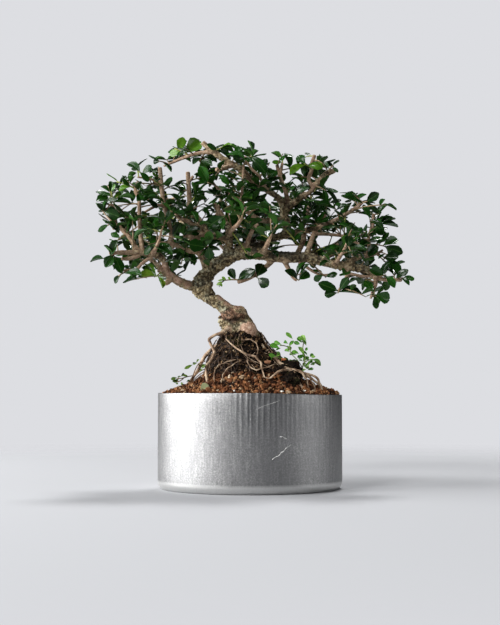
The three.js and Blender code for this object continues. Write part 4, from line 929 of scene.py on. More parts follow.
ROOTS = [
    [[-17, 179, -10, 2.6], [-31, 170, -18, 2.1], [-45, 163, -16, 1.9], [-43, 157, -18, 1.7],
        [-39, 149, -24, 1.6], [-41, 143, -28, 1.6], [-48, 134, -32, 1.8], [-48, 127, -38, 1.6],
        [-46, 112, -46, 1.3]],
    [[-27, 164, -20, 0.5], [-23.5, 160.5, -26, 0.9], [-10, 150, -38, 1.2], [6, 144, -41, 1.3],
        [12.5, 137, -43, 1.2], [14, 128, -49, 1], [16, 121, -54, 1]],
    [[-9, 140, -40, 0.6], [-16, 137, -42, 0.8], [-25, 131, -47, 0.8], [-30, 124, -50, 0.7],
        [-32, 116, -54, 0.6]],
    [[-15, 141, -38, 0.5], [-25, 138.5, -40, 0.8], [-34, 135, -41, 0.8], [-38, 130, -43, 0.7],
        [-39, 116, -52, 0.6]],
    [[-10, 162, -27, 0.9], [0, 163, -28, 0.9], [7, 159, -29, 0.8], [9, 152, -34, 0.8], [7, 141, -41, 0.8]],
    [[-4, 147, -37, 0.6], [-3, 139, -42, 0.8], [1, 132, -46, 0.8], [8, 129, -49, 0.9],
        [19, 132, -47, 0.8], [28, 136, -46, 0.6]],
    [[15, 121, -54, 1.1], [22, 120, -55, 1.2], [28, 125, -55, 1.3], [36, 129, -52, 1.5],
        [42, 130, -47, 1.9], [48, 126, -47, 2], [52, 120, -49, 2.1], [56, 112, -53, 1.8],
        [60, 104, -56, 1.4]],
    [[5, 163, -6, 3.4], [20, 148, -18, 2.2], [34, 136, -28, 1.9], [48, 130, -36, 1.7],
        [60, 125.5, -39, 1.6], [66, 124, -39, 1.5], [71.5, 122, -39, 1.5], [75, 118.5, -39, 1.5],
        [78, 112, -39, 1.4], [79, 105, -39, 1.2]],
    [[6, 162, 0, 4], [22, 147, -6, 3], [36, 133, -14, 2.2], [50, 125, -20, 1.8], [66, 121, -22, 1.6],
        [75, 114, -21, 1.5], [80, 105, -20, 1.4]],
    [[38, 133, -40, 0.8], [50, 129, -43, 1.2], [58, 125, -46, 1.3], [63, 118, -48, 1.1],
        [66, 107, -50, 0.8]],
    [[52, 128, -40, 0.8], [60, 126, -43, 1.2], [66, 120, -45, 1.1], [70, 113, -46, 0.9],
        [72, 106, -46, 0.7]],
    [[-24, 166, 6, 4], [-44, 150, 8, 2.2], [-54, 136, 12, 1.9], [-62, 122, 16, 1.7], [-69, 106, 20, 1.4]],
    [[-14, 166, 12, 4], [-24, 154, 28, 2.4], [-31, 142, 36, 2], [-36, 128, 44, 1.8], [-42, 108, 54, 1.5]],
    [[-2, 164, 12, 4], [14, 152, 28, 2.4], [22, 140, 36, 2], [34, 126, 44, 1.7], [44, 108, 52, 1.5]],
]
FINE_TWIGS = [
    [[108, 236, -28, 1.8], [123, 233, -27, 1.5], [136, 232, -28, 1.5]],
    [[54, 249, -20, 2], [68, 239, -14, 1.6], [79, 234, -12, 1.4], [90, 235, -10, 1.1]],
    [[75, 252, -22, 2.2], [86, 254, -18, 1.9], [96, 258, -14, 1.4]],
    [[-68, 337, -5, 2], [-63, 344, -8, 1.5]],
    [[0, 339, -8, 2.6], [0, 346, -9, 2]],
    [[33, 344, 6, 2], [36, 359, 4, 1.5]],
    [[-146, 287, -32, 1.8], [-152, 285, -34, 1.3]],
]
CROWN_WOOD = RIGHT_LIMBS + CENTRE_LIMBS + UPPER_LIMBS + LEFT_LIMBS + BACK_LIMBS + FRONT_LIMBS
print(len(TRUNK + CROWN_WOOD), "limbs,", len(ROOTS), "roots,", len(FINE_TWIGS), "fine twigs")

# %% [markdown]
# ## The wood: skin and bark
#
# Real limbs flow into each other with no seam. Tubes that are only pushed together show one, so the
# tubes are joined and then remeshed with voxels, which melts every joint, and smoothed a little. Then
# the bark is raised out of the surface with noise: deep and knobbly on the old trunk, finer on the
# limbs. The remesh costs triangles where the wood is thick, so thin twigs stay as neat tubes.
#
# Each vertex also remembers how thick the wood is there, how much lichen or smooth young bark it carries,
# and how much painted shade darkens it; on the left limb the pale smooth bark is painted light. The
# material reads those numbers, so that the colours follow the wood round every bend.

# %% Paths, tubes and skin
WOOD_VOXEL = 1.05
THICK_WOOD = 2.3
PATH_STEP = 2.2
ACROSS_WAY = np.array([1.0, 0.0, 0.0])
DEPTH_WAY = np.array([0.0, 1.0, 0.0])
UP_WAY = np.array([0.0, 0.0, 1.0])
NEARLY_IN_LINE = 0.2


def place(spot):
    """The place in the room of what the front view shows at `across` and `up`, at a depth."""
    across, up, depth = spot[:3]
    growth = (VIEW_DISTANCE + depth) / VIEW_DISTANCE
    return np.array([across * growth, depth, EYE_HEIGHT + (up - EYE_HEIGHT) * growth])


def seen_from_front(points):
    """Where the front view shows places of the room: across and up."""
    growth = (VIEW_DISTANCE + points[:, 1]) / VIEW_DISTANCE
    return np.stack([points[:, 0] / growth, EYE_HEIGHT + (points[:, 2] - EYE_HEIGHT) / growth], axis=1)


def unit(vector):
    return vector / np.linalg.norm(vector)


def square_to(along, way, spare=None):
    """What is square to `along` in a direction, or in the spare one if the two are nearly in line."""
    left = way - along * way.dot(along)
    if spare is not None and np.linalg.norm(left) < NEARLY_IN_LINE:
        left = spare - along * spare.dot(along)
    return unit(left)


def smooth_path(path):
    """A curve through the places of a limb, and the radius along it."""
    points = [place(spot) for spot in path]
    radii = [spot[3] * (VIEW_DISTANCE + spot[2]) / VIEW_DISTANCE for spot in path]
    last = len(points) - 1
    curve, widths = [], []
    for i in range(last):
        before, start = points[max(i - 1, 0)], points[i]
        end, after = points[i + 1], points[min(i + 2, last)]
        steps = max(2, int(np.linalg.norm(end - start) / PATH_STEP))
        for step in range(steps):
            t = step / steps
            curve.append(0.5 * (2 * start + (end - before) * t
                                + (2 * before - 5 * start + 4 * end - after) * t * t
                                + (3 * start - before - 3 * end + after) * t ** 3))
            widths.append(radii[i] + (radii[i + 1] - radii[i]) * smooth_step(t, 0, 1))
    curve.append(points[-1])
    widths.append(radii[-1])
    return np.array(curve), np.array(widths)


def smooth_paths(paths):
    return [smooth_path(path) for path in paths]


def tube_parts(curve, widths, sides, first=0):
    """The vertices and faces of a closed tube along a curve."""
    vertices = []
    last = len(curve) - 1
    side = DEPTH_WAY
    for i, (point, width) in enumerate(zip(curve, widths)):
        ahead = curve[min(i + 1, last)] - curve[max(i - 1, 0)]
        ahead = ahead / (np.linalg.norm(ahead) or 1)
        side = square_to(ahead, side, ACROSS_WAY)
        other = np.cross(ahead, side)
        for turn in turns_round(sides):
            vertices.append(point + (side * math.cos(turn) + other * math.sin(turn)) * width)
    faces = ring_faces(len(curve), sides, first)
    vertices += [curve[0], curve[-1]]
    foot, tip = first + len(vertices) - 2, first + len(vertices) - 1
    for j in range(sides):
        k = (j + 1) % sides
        faces.append((foot, first + k, first + j))
        faces.append((tip, first + last * sides + j, first + last * sides + k))
    return vertices, faces


def tubes_piece(name, curves, material, sides, more_sides=0):
    """One mesh of a tube round each curve. Each gets `more_sides` for every millimetre of its radius."""
    vertices, faces = [], []
    for curve, widths in curves:
        tube_sides = int(sides + more_sides * float(np.max(widths)))
        more, more_faces = tube_parts(curve, widths, tube_sides, len(vertices))
        vertices += more
        faces += more_faces
    return mesh_piece(name, vertices, faces, material)


def typical_radius(path):
    """The middle one of a limb's radii."""
    return sorted(spot[3] for spot in path)[len(path) // 2]


thick_paths = [path for path in TRUNK + CROWN_WOOD if typical_radius(path) >= THICK_WOOD]
thin_paths = [path for path in CROWN_WOOD + FINE_TWIGS if typical_radius(path) < THICK_WOOD]
print(len(thick_paths), "thick limbs,", len(thin_paths), "thin ones")

# %% Knobs, creases and smooth patches
# Patches as seen from the front: across, up, size, and how strong they are.
# Pale smooth bark. The four patches on the left limb, from (-69, 224) on, are painted light: paler bark
# where that limb is lit.
SMOOTH_BARK_AND_PAINTED_LIGHT = [
    (-23, 205.5, 9, 1), (-32, 210, 7, 1), (-14, 201, 8, 1), (-2, 173, 13, 1), (8, 181, 6, 1),
    (-24, 174, 6, 1), (-69, 224, 7, 1), (-79, 229, 8, 1), (-88, 236, 8, 1), (-96, 243, 8, 1),
]
RUSTY_BARK = [(-20, 190, 11, 1), (-9, 190, 7, 1), (-29, 189, 7, 1)]
# Painted shadow: patches where the bark is darkened for the shade that the crown casts on the limbs.
PAINTED_BARK_SHADOW = [
    (8, 268, 14, 0.85), (24, 263, 14, 0.9), (42, 260, 14, 0.9), (57, 256, 11, 0.7),
    (72, 253, 9, 0.4), (-42, 231, 9, 0.4), (-52, 226, 8, 0.35),
]
# Creases run across the trunk: from and to, the height and half the width.
CREASES = [(-29, -3, 184, 2.8), (-44, -34, 214, 1.6), (-60, -50, 224, 1.4)]
# Knobs of wood: across, up, depth and radius.
KNOBS = [
    [-8, 197, -8, 3], [-44, 221, -3, 3.2], [-46, 227, -5, 3], [-50, 218, -6, 3.2],
    [-57, 216, -5, 3], [-47, 209, -5, 2.8], [-30, 192, -15, 3.6], [-21, 190, -18, 3.4],
    [-12, 191, -17, 3.2], [-5, 190, -12, 3.2], [-33, 186, -12, 3.4], [-26, 196, -12, 2.6],
    [-35, 200, -7, 2.4], [-40, 212, -6, 2.6],
]
RANDOM_KNOBS = 150
KNOB_SEED = 61
KNOB_SIZE = (0.2, 0.42)
KNOB_SUNK = 0.45
STUB_LENGTH = 0.6
LEAST_KNOB = 0.9
LEAST_KNOBBLY_WOOD = 2.6


def knob_curves(draw):
    """Short stubs of wood that the melting turns into knobs, most of them at random on old wood."""
    stubs = smooth_paths(
        [[x, y, z, radius], [x, y, z - STUB_LENGTH, radius * 0.9]] for x, y, z, radius in KNOBS)
    old = TRUNK + RIGHT_LIMBS[:2] + CENTRE_LIMBS[:3] + UPPER_LIMBS[:4] + LEFT_LIMBS
    curves = smooth_paths(path for path in old if typical_radius(path) >= LEAST_KNOBBLY_WOOD)
    for _ in range(RANDOM_KNOBS):
        curve, widths = curves[int(draw(0, len(curves)))]
        i = 1 + int(draw(0, len(curve) - 2))
        outward = np.array([draw(-1, 1), draw(-1, 1), draw(-1, 1)])
        ahead = unit(curve[i + 1] - curve[i - 1])
        outward = square_to(ahead, outward)
        size = max(LEAST_KNOB, widths[i] * draw(*KNOB_SIZE))
        middle = curve[i] + outward * (widths[i] - KNOB_SUNK * size)
        stubs.append((np.array([middle, middle + ahead * size * 0.8]), np.array([size, size * 0.7])))
    return stubs


print(len(KNOBS) + RANDOM_KNOBS, "knobs,", len(CREASES), "creases")

# %% Bark on the limbs
BARK_RELIEF = 0.15
LEAST_RELIEF = 0.22
MOST_RELIEF = 1.8
OLD_WOOD = 6
THICKEST_WOOD = 18
LICHEN_SIDE = Vector((-0.8, -0.25, 0.55)).normalized()


def wood_skeleton(paths):
    """The points along the limbs, in a tree that finds the nearest one fast, and the radius at each."""
    curves = smooth_paths(paths)
    radii = np.concatenate([widths for _, widths in curves])
    tree = KDTree(len(radii))
    for index, point in enumerate(np.concatenate([curve for curve, _ in curves])):
        tree.insert(point, index)
    tree.balance()
    return tree, radii.tolist()


def crack_at(spot, fineness):
    """1 along the thin lines where a noise crosses zero, 0 away from them."""
    return smooth_step(1 - 2 * abs(noise.noise(spot * fineness)), 0.45, 0.95)


def strength_at(across, up, patches, soft_edge):
    """How strong the strongest of some round patches is at a place as seen from the front."""
    return max(share * smooth_step(size - math.hypot(across - x, up - z), 0, soft_edge)
               for x, z, size, share in patches)


def bark_at(spot, normal, radius):
    """How far the bark stands out at a place, how much painted shade darkens it, and how mossy, smooth and
    rusty it is there.
    """
    across, up = seen_from_front(np.array([spot]))[0]
    # Rust is on old wood only. Smooth patches are on the front, and thin limbs are smooth all round. On the
    # left limb the smooth patches are painted light.
    rust = strength_at(across, up, RUSTY_BARK, 4) * (radius > OLD_WOOD)
    smooth = strength_at(across, up, SMOOTH_BARK_AND_PAINTED_LIGHT, 5) * (spot.y < 4) * (1 - 0.8 * rust)
    smooth = max(smooth, smooth_step(4.6 - radius, 0, 2.6) * 0.75)
    crease = max(smooth_step(half - abs(up - z - 1.2 * math.sin(across * 0.35)), 0, half)
                 * (left < across < right) for left, right, z, half in CREASES)
    crease *= radius > OLD_WOOD
    # Lichen spreads in patches on the damp side of the thicker wood.
    facing = normal.dot(LICHEN_SIDE)
    spread = noise.noise(spot * 0.11) * 0.6 + noise.noise(spot * 0.35) * 0.4
    lichen = smooth_step(facing * 0.6 + spread, -0.05, 0.6) * smooth_step(radius, 2.2, 6)
    # Knobs are as wide as the wood is thick, and thin cracks run between them.
    knobs = noise.fractal(spot * (1.1 / max(radius, 2.2)), 0.8, 2.0, 3)
    crack = max(crack_at(spot, 0.21), 0.8 * crack_at(spot + Vector((31, 7, 5)), 0.42)) * (1 - smooth)
    relief = min(MOST_RELIEF, max(LEAST_RELIEF, radius * BARK_RELIEF)) * (1 - 0.8 * smooth)
    shift = relief * (0.9 * knobs + 0.45 * noise.noise(spot * 1.1) - 1.1 * crack) - 2.2 * crease
    # Painted shade: the cracks, the dips between knobs and the creases are darkened, and so are the patches
    # of painted shadow.
    hollow = min(1, 0.8 * crack + 0.5 * smooth_step(-knobs, 0.05, 0.6) * (1 - smooth) + crease)
    hollow = min(1, hollow + strength_at(across, up, PAINTED_BARK_SHADOW, 6) * (radius > 4))
    return shift, hollow, lichen * (1 - smooth), smooth, rust


def raise_bark(piece, paths, deepest=math.inf):
    """Moves each vertex by its bark, and writes down the wood's girth, lichen, smooth bark, rust and painted
    shade there.
    """
    skeleton, radii = wood_skeleton(paths)
    mesh = piece.data
    written = {"girth": [], "hollow": [], "lichen": [], "smooth_bark": [], "rust": []}
    moved = []
    for vertex in mesh.vertices:
        spot = vertex.co / MM
        _, index, _ = skeleton.find(spot)
        radius = radii[index]
        shift, *finish_and_painted_shade = bark_at(spot, vertex.normal, radius)
        moved.append((spot + vertex.normal * max(-deepest, min(deepest, shift))) * MM)
        for values, value in zip(written.values(), (min(1, radius / THICKEST_WOOD), *finish_and_painted_shade)):
            values.append(value)
    mesh.vertices.foreach_set("co", np.array(moved).ravel())
    for name, values in written.items():
        mesh.attributes.new(name, "FLOAT", "POINT").data.foreach_set("value", values)
    mesh.update()


def melted(piece, voxel_mm, rounds):
    """Melts overlapping tubes into one skin, and smooths it in a few rounds."""
    remesh = piece.modifiers.new("melt", "REMESH")
    remesh.mode = "VOXEL"
    remesh.voxel_size = voxel_mm * MM
    remesh.use_smooth_shade = True
    soften = piece.modifiers.new("soften", "SMOOTH")
    soften.factor = 0.5
    soften.iterations = rounds
    return baked(piece)


def grown_bark():
    """Old bark: grey tan, rough and cracked, with grey-green lichen, pinkish beige where smooth and where
    light is painted, and painted shade.
    """
    material, tree, shader, on_piece = new_material("fukien_tea_bark")
    kept = {name: add(tree, "ShaderNodeAttribute", attribute_name=name).outputs["Fac"]
            for name in ("girth", "hollow", "lichen", "smooth_bark", "rust")}
    grain = add(tree, "ShaderNodeTexNoise", {
        "Vector": on_piece, "Scale": 330, "Detail": 6, "Roughness": 0.7})
    flake = add(tree, "ShaderNodeTexNoise", {"Vector": on_piece, "Scale": 120, "Detail": 5})
    mottle = add(tree, "ShaderNodeTexNoise", {
        "Vector": on_piece, "Scale": 300, "Detail": 7, "Roughness": 0.75})
    old = add(tree, "ShaderNodeValToRGB", {"Fac": grain}, stops=[
        (0.37, "#2e2213"), (0.46, "#83704c"), (0.54, "#b7a278"), (0.64, "#e6dab2")])
    fresh = add(tree, "ShaderNodeValToRGB", {"Fac": mottle}, stops=[
        (0.34, "#765643"), (0.5, "#b59077"), (0.64, "#dabfa8")])
    crust = add(tree, "ShaderNodeValToRGB", {"Fac": grain}, stops=[
        (0.38, "#3c3d25"), (0.47, "#94967a"), (0.58, "#dfdfc4")])
    rusty = add(tree, "ShaderNodeValToRGB", {"Fac": mottle}, stops=[
        (0.41, "#2a170e"), (0.5, "#80543f"), (0.6, "#b88b6f")])
    patchy = add(tree, "ShaderNodeMapRange", {
        "Value": flake, "From Min": 0.4, "From Max": 0.6, "To Min": 0.1, "To Max": 0.9})
    covered = add(tree, "ShaderNodeMath", {0: kept["lichen"], 1: patchy}, operation="MULTIPLY")
    rust_share = add(tree, "ShaderNodeMath", {0: kept["rust"], 1: 0.85}, operation="MULTIPLY")
    # Painted shade: the darkened cracks, dips and shadow patches are mixed towards a near-black brown.
    painted_shade_share = add(tree, "ShaderNodeMath", {0: kept["hollow"], 1: 0.85}, operation="MULTIPLY")
    # Smooth bark with its painted light, lichen, rust and the painted shade of cracks, dips and shadows go
    # over the old bark, one after the other.
    skin = old
    for share, coat in ((kept["smooth_bark"], fresh), (covered, crust), (rust_share, rusty),
                        (painted_shade_share, colour("#271c12"))):
        skin = add(tree, "ShaderNodeMix", {"Factor": share, "A": skin, "B": coat}, data_type="RGBA")
    rough = add(tree, "ShaderNodeMapRange", {"Value": kept["smooth_bark"], "To Min": 0.9, "To Max": 0.62})
    depth = add(tree, "ShaderNodeMapRange", {"Value": kept["girth"], "To Min": 0.35, "To Max": 0.9})
    bump = add(tree, "ShaderNodeBump", {"Height": grain, "Strength": depth, "Distance": 0.002})
    wire(tree, shader, {"Base Color": skin, "Roughness": rough, "Normal": bump})
    return material


def ride_as_wood(piece):
    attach(piece, "root")
    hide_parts("tree")


bark = grown_bark()
limb_curves = smooth_paths(thick_paths) + knob_curves(seeded_numbers(KNOB_SEED))
limbs = tubes_piece("trunk_and_limbs", limb_curves, bark, 8, 1.2)
melted(limbs, WOOD_VOXEL, 1)
raise_bark(limbs, thick_paths)
ride_as_wood(limbs)
twigs = tubes_piece("thin_branches", smooth_paths(thin_paths), bark, 8)
raise_bark(twigs, thin_paths)
ride_as_wood(twigs)
print("limbs:", triangles(limbs), "thin branches:", triangles(twigs), "triangles")

# %% [markdown]
# ## The roots
#
# The old roots stand clear of the clump like thin, kinked legs, paler than the trunk because their skin
# is smooth. Finer ones hug the clump all round. The thick ones follow the model's lists, and the fine
# ones are walked down the clump's own surface with small random turns, so none of them floats.

# %% Old roots and fine roots
DARK_ROOTS = 90
PALE_ROOTS = 30
DARK_ROOT_RADIUS = (0.22, 0.55)
PALE_ROOT_RADIUS = (0.22, 0.5)
ROOT_KINK = 0.09
ROOT_TOP = 172
ROOT_BOTTOM = 112
ROOT_STRIDE = (2.2, 4.4)
ROOT_LIFT = (0.4, 2.2)
FIRST_HEADING = (-2.4, -0.7)
HEADING_CHANGE = 0.55
CLUMP_GIRTH = 36
ROOT_VOXEL = 0.6
ROOT_RELIEF = 0.3
PALE_ROOT_STEPS = 12
DARK_ROOT_STEPS = 16
FEWEST_ROOT_PLACES = 4
ROOT_SEED = 90


def walk_root(draw, radii, steps):
    """A fine root that wanders over the clump, half sunk in it."""
    turn = draw(0, math.tau)
    height = draw(ROOT_BOTTOM + 12, ROOT_TOP)
    width = draw(*radii)
    heading = draw(*FIRST_HEADING)
    curve = []
    while len(curve) < steps and ROOT_BOTTOM <= height <= ROOT_TOP:
        curve.append(np.array(ball_point(height, turn, draw(*ROOT_LIFT))))
        heading += draw(-HEADING_CHANGE, HEADING_CHANGE)
        stride = draw(*ROOT_STRIDE)
        height += stride * math.sin(heading)
        turn += stride * math.cos(heading) / CLUMP_GIRTH
    widths = [width * (1 - 0.6 * i / len(curve)) for i in range(len(curve))]
    return np.array(curve), np.array(widths)


def walked_roots(draw, count, radii, steps):
    roots = [walk_root(draw, radii, steps) for _ in range(count)]
    return [root for root in roots if len(root[0]) >= FEWEST_ROOT_PLACES]


def root_skin(name, stops):
    """Root skin: thin and smooth, beige to pale brown, stained dark where soil clings to it."""
    material, tree, shader, on_piece = new_material(name)
    stain = add(tree, "ShaderNodeTexNoise", {
        "Vector": on_piece, "Scale": 150, "Detail": 5, "Roughness": 0.6})
    tint = add(tree, "ShaderNodeValToRGB", {"Fac": stain}, stops=stops)
    bump = add(tree, "ShaderNodeBump", {"Height": stain, "Strength": 0.4, "Distance": 0.0008})
    wire(tree, shader, {"Base Color": tint, "Roughness": 0.7, "Normal": bump})
    return material


def kinked(path, draw):
    """A root's path with a small random kink halfway along each run."""
    places = [path[0]]
    for start, end in zip(path, path[1:]):
        middle = [(a + b) / 2 for a, b in zip(start, end)]
        bend = ROOT_KINK * math.dist(start[:3], end[:3])
        places.append([value + draw(-bend, bend) for value in middle[:3]] + [middle[3] * draw(0.8, 1.1)])
        places.append(end)
    return places


root_draw = seeded_numbers(ROOT_SEED)
root_paths = [kinked(path, root_draw) for path in ROOTS]
pale_skin = root_skin("pale_root_skin", [
    (0.36, "#4a3627"), (0.46, "#8a6f57"), (0.56, "#ae957a"), (0.68, "#d3c0a6")])
dark_skin = root_skin("dark_root_skin", [(0.35, "#1d140e"), (0.5, "#3d2b1e"), (0.68, "#6f533a")])
roots = tubes_piece("old_roots", smooth_paths(root_paths), pale_skin, 9, 1)
melted(roots, ROOT_VOXEL, 2)
raise_bark(roots, root_paths, ROOT_RELIEF)
pale_curves = walked_roots(root_draw, PALE_ROOTS, PALE_ROOT_RADIUS, PALE_ROOT_STEPS)
dark_curves = walked_roots(root_draw, DARK_ROOTS, DARK_ROOT_RADIUS, DARK_ROOT_STEPS)
pale_roots = tubes_piece("pale_fine_roots", pale_curves, pale_skin, 6)
dark_roots = tubes_piece("dark_fine_roots", dark_curves, dark_skin, 5)
for piece in (roots, pale_roots, dark_roots):
    ride_as_wood(piece)
    print(piece.name + ":", triangles(piece), "triangles")

# %% [markdown]
# ## The crown: where the leaves are
#
# Small-leaved fukien tea carries its leaves in tufts on short spurs, close to the wood. Fifty-three
# leafy sprays are in the model. Each has the leaves that stand out in the tree's outline, listed as
# seen from the front, and some more that a seeded rule adds. The rule is repeated here with the
# same seed, so that every leaf of the model gets its finer twin in the same place.
#
# Real crowns are denser than that. Many more tufts follow, on the limbs in the depth of the crown. Each
# leaf is kept only if it is inside the crown's outline, leaves the openings clear that the light shows
# through, and has room.

# %% The crown's outline, its openings and its sprays
# The edge of the crown as the front view shows it: across and up.
CROWN_OUTLINE = [
    [-177, 252], [-165, 263], [-155, 272], [-155, 282], [-169, 283], [-170, 311], [-170, 329],
    [-158, 335], [-145, 343], [-135, 360], [-112, 369], [-91, 371], [-80, 386], [-56, 386], [-42, 380],
    [-22, 378], [-4, 376], [11, 371], [24, 371], [55, 371], [75, 370], [97, 361], [101, 341], [104, 326],
    [143, 326], [162, 311], [163, 289], [154, 280], [167, 273], [169, 256], [181, 233], [176, 224],
    [156, 220], [152, 204], [136, 200], [125, 215], [82, 208], [76, 225], [55, 227], [40, 234],
    [34, 246], [13, 250], [-11, 252], [-31, 246], [-42, 240], [-55, 231], [-75, 232], [-99, 226],
    [-112, 232], [-139, 224], [-152, 226], [-161, 242], [-177, 248],
]
# Openings in it that the light shows through: across, up and radius.
LIGHT_GAPS = [
    [-53, 299, 5], [-31, 282, 3], [-64, 275, 3], [-55, 243, 5], [-30, 258, 4], [-46, 253, 3],
    [42, 265, 8], [33, 280, 4], [56, 261, 4], [100, 253, 4], [45, 245, 5], [-88, 328, 6], [-110, 308, 7],
    [-137, 312, 7], [-115, 336, 5], [-104, 278, 5], [-129, 286, 4], [-143, 264, 5], [-138, 246, 3],
    [-107, 248, 3], [-55, 310, 4], [-31, 318, 4], [-15, 337, 4], [16, 341, 4], [20, 317, 4],
    [-71, 335, 4], [-81, 349, 9], [-66, 353, 6], [55, 335, 4], [69, 325, 4], [44, 352, 6], [93, 338, 5],
    [88, 327, 6], [115, 297, 7], [123, 295, 8], [104, 282, 4], [93, 275, 8], [82, 272, 8], [143, 247, 6],
    [115, 238, 4], [93, 231, 6], [-120, 352, 5],
]
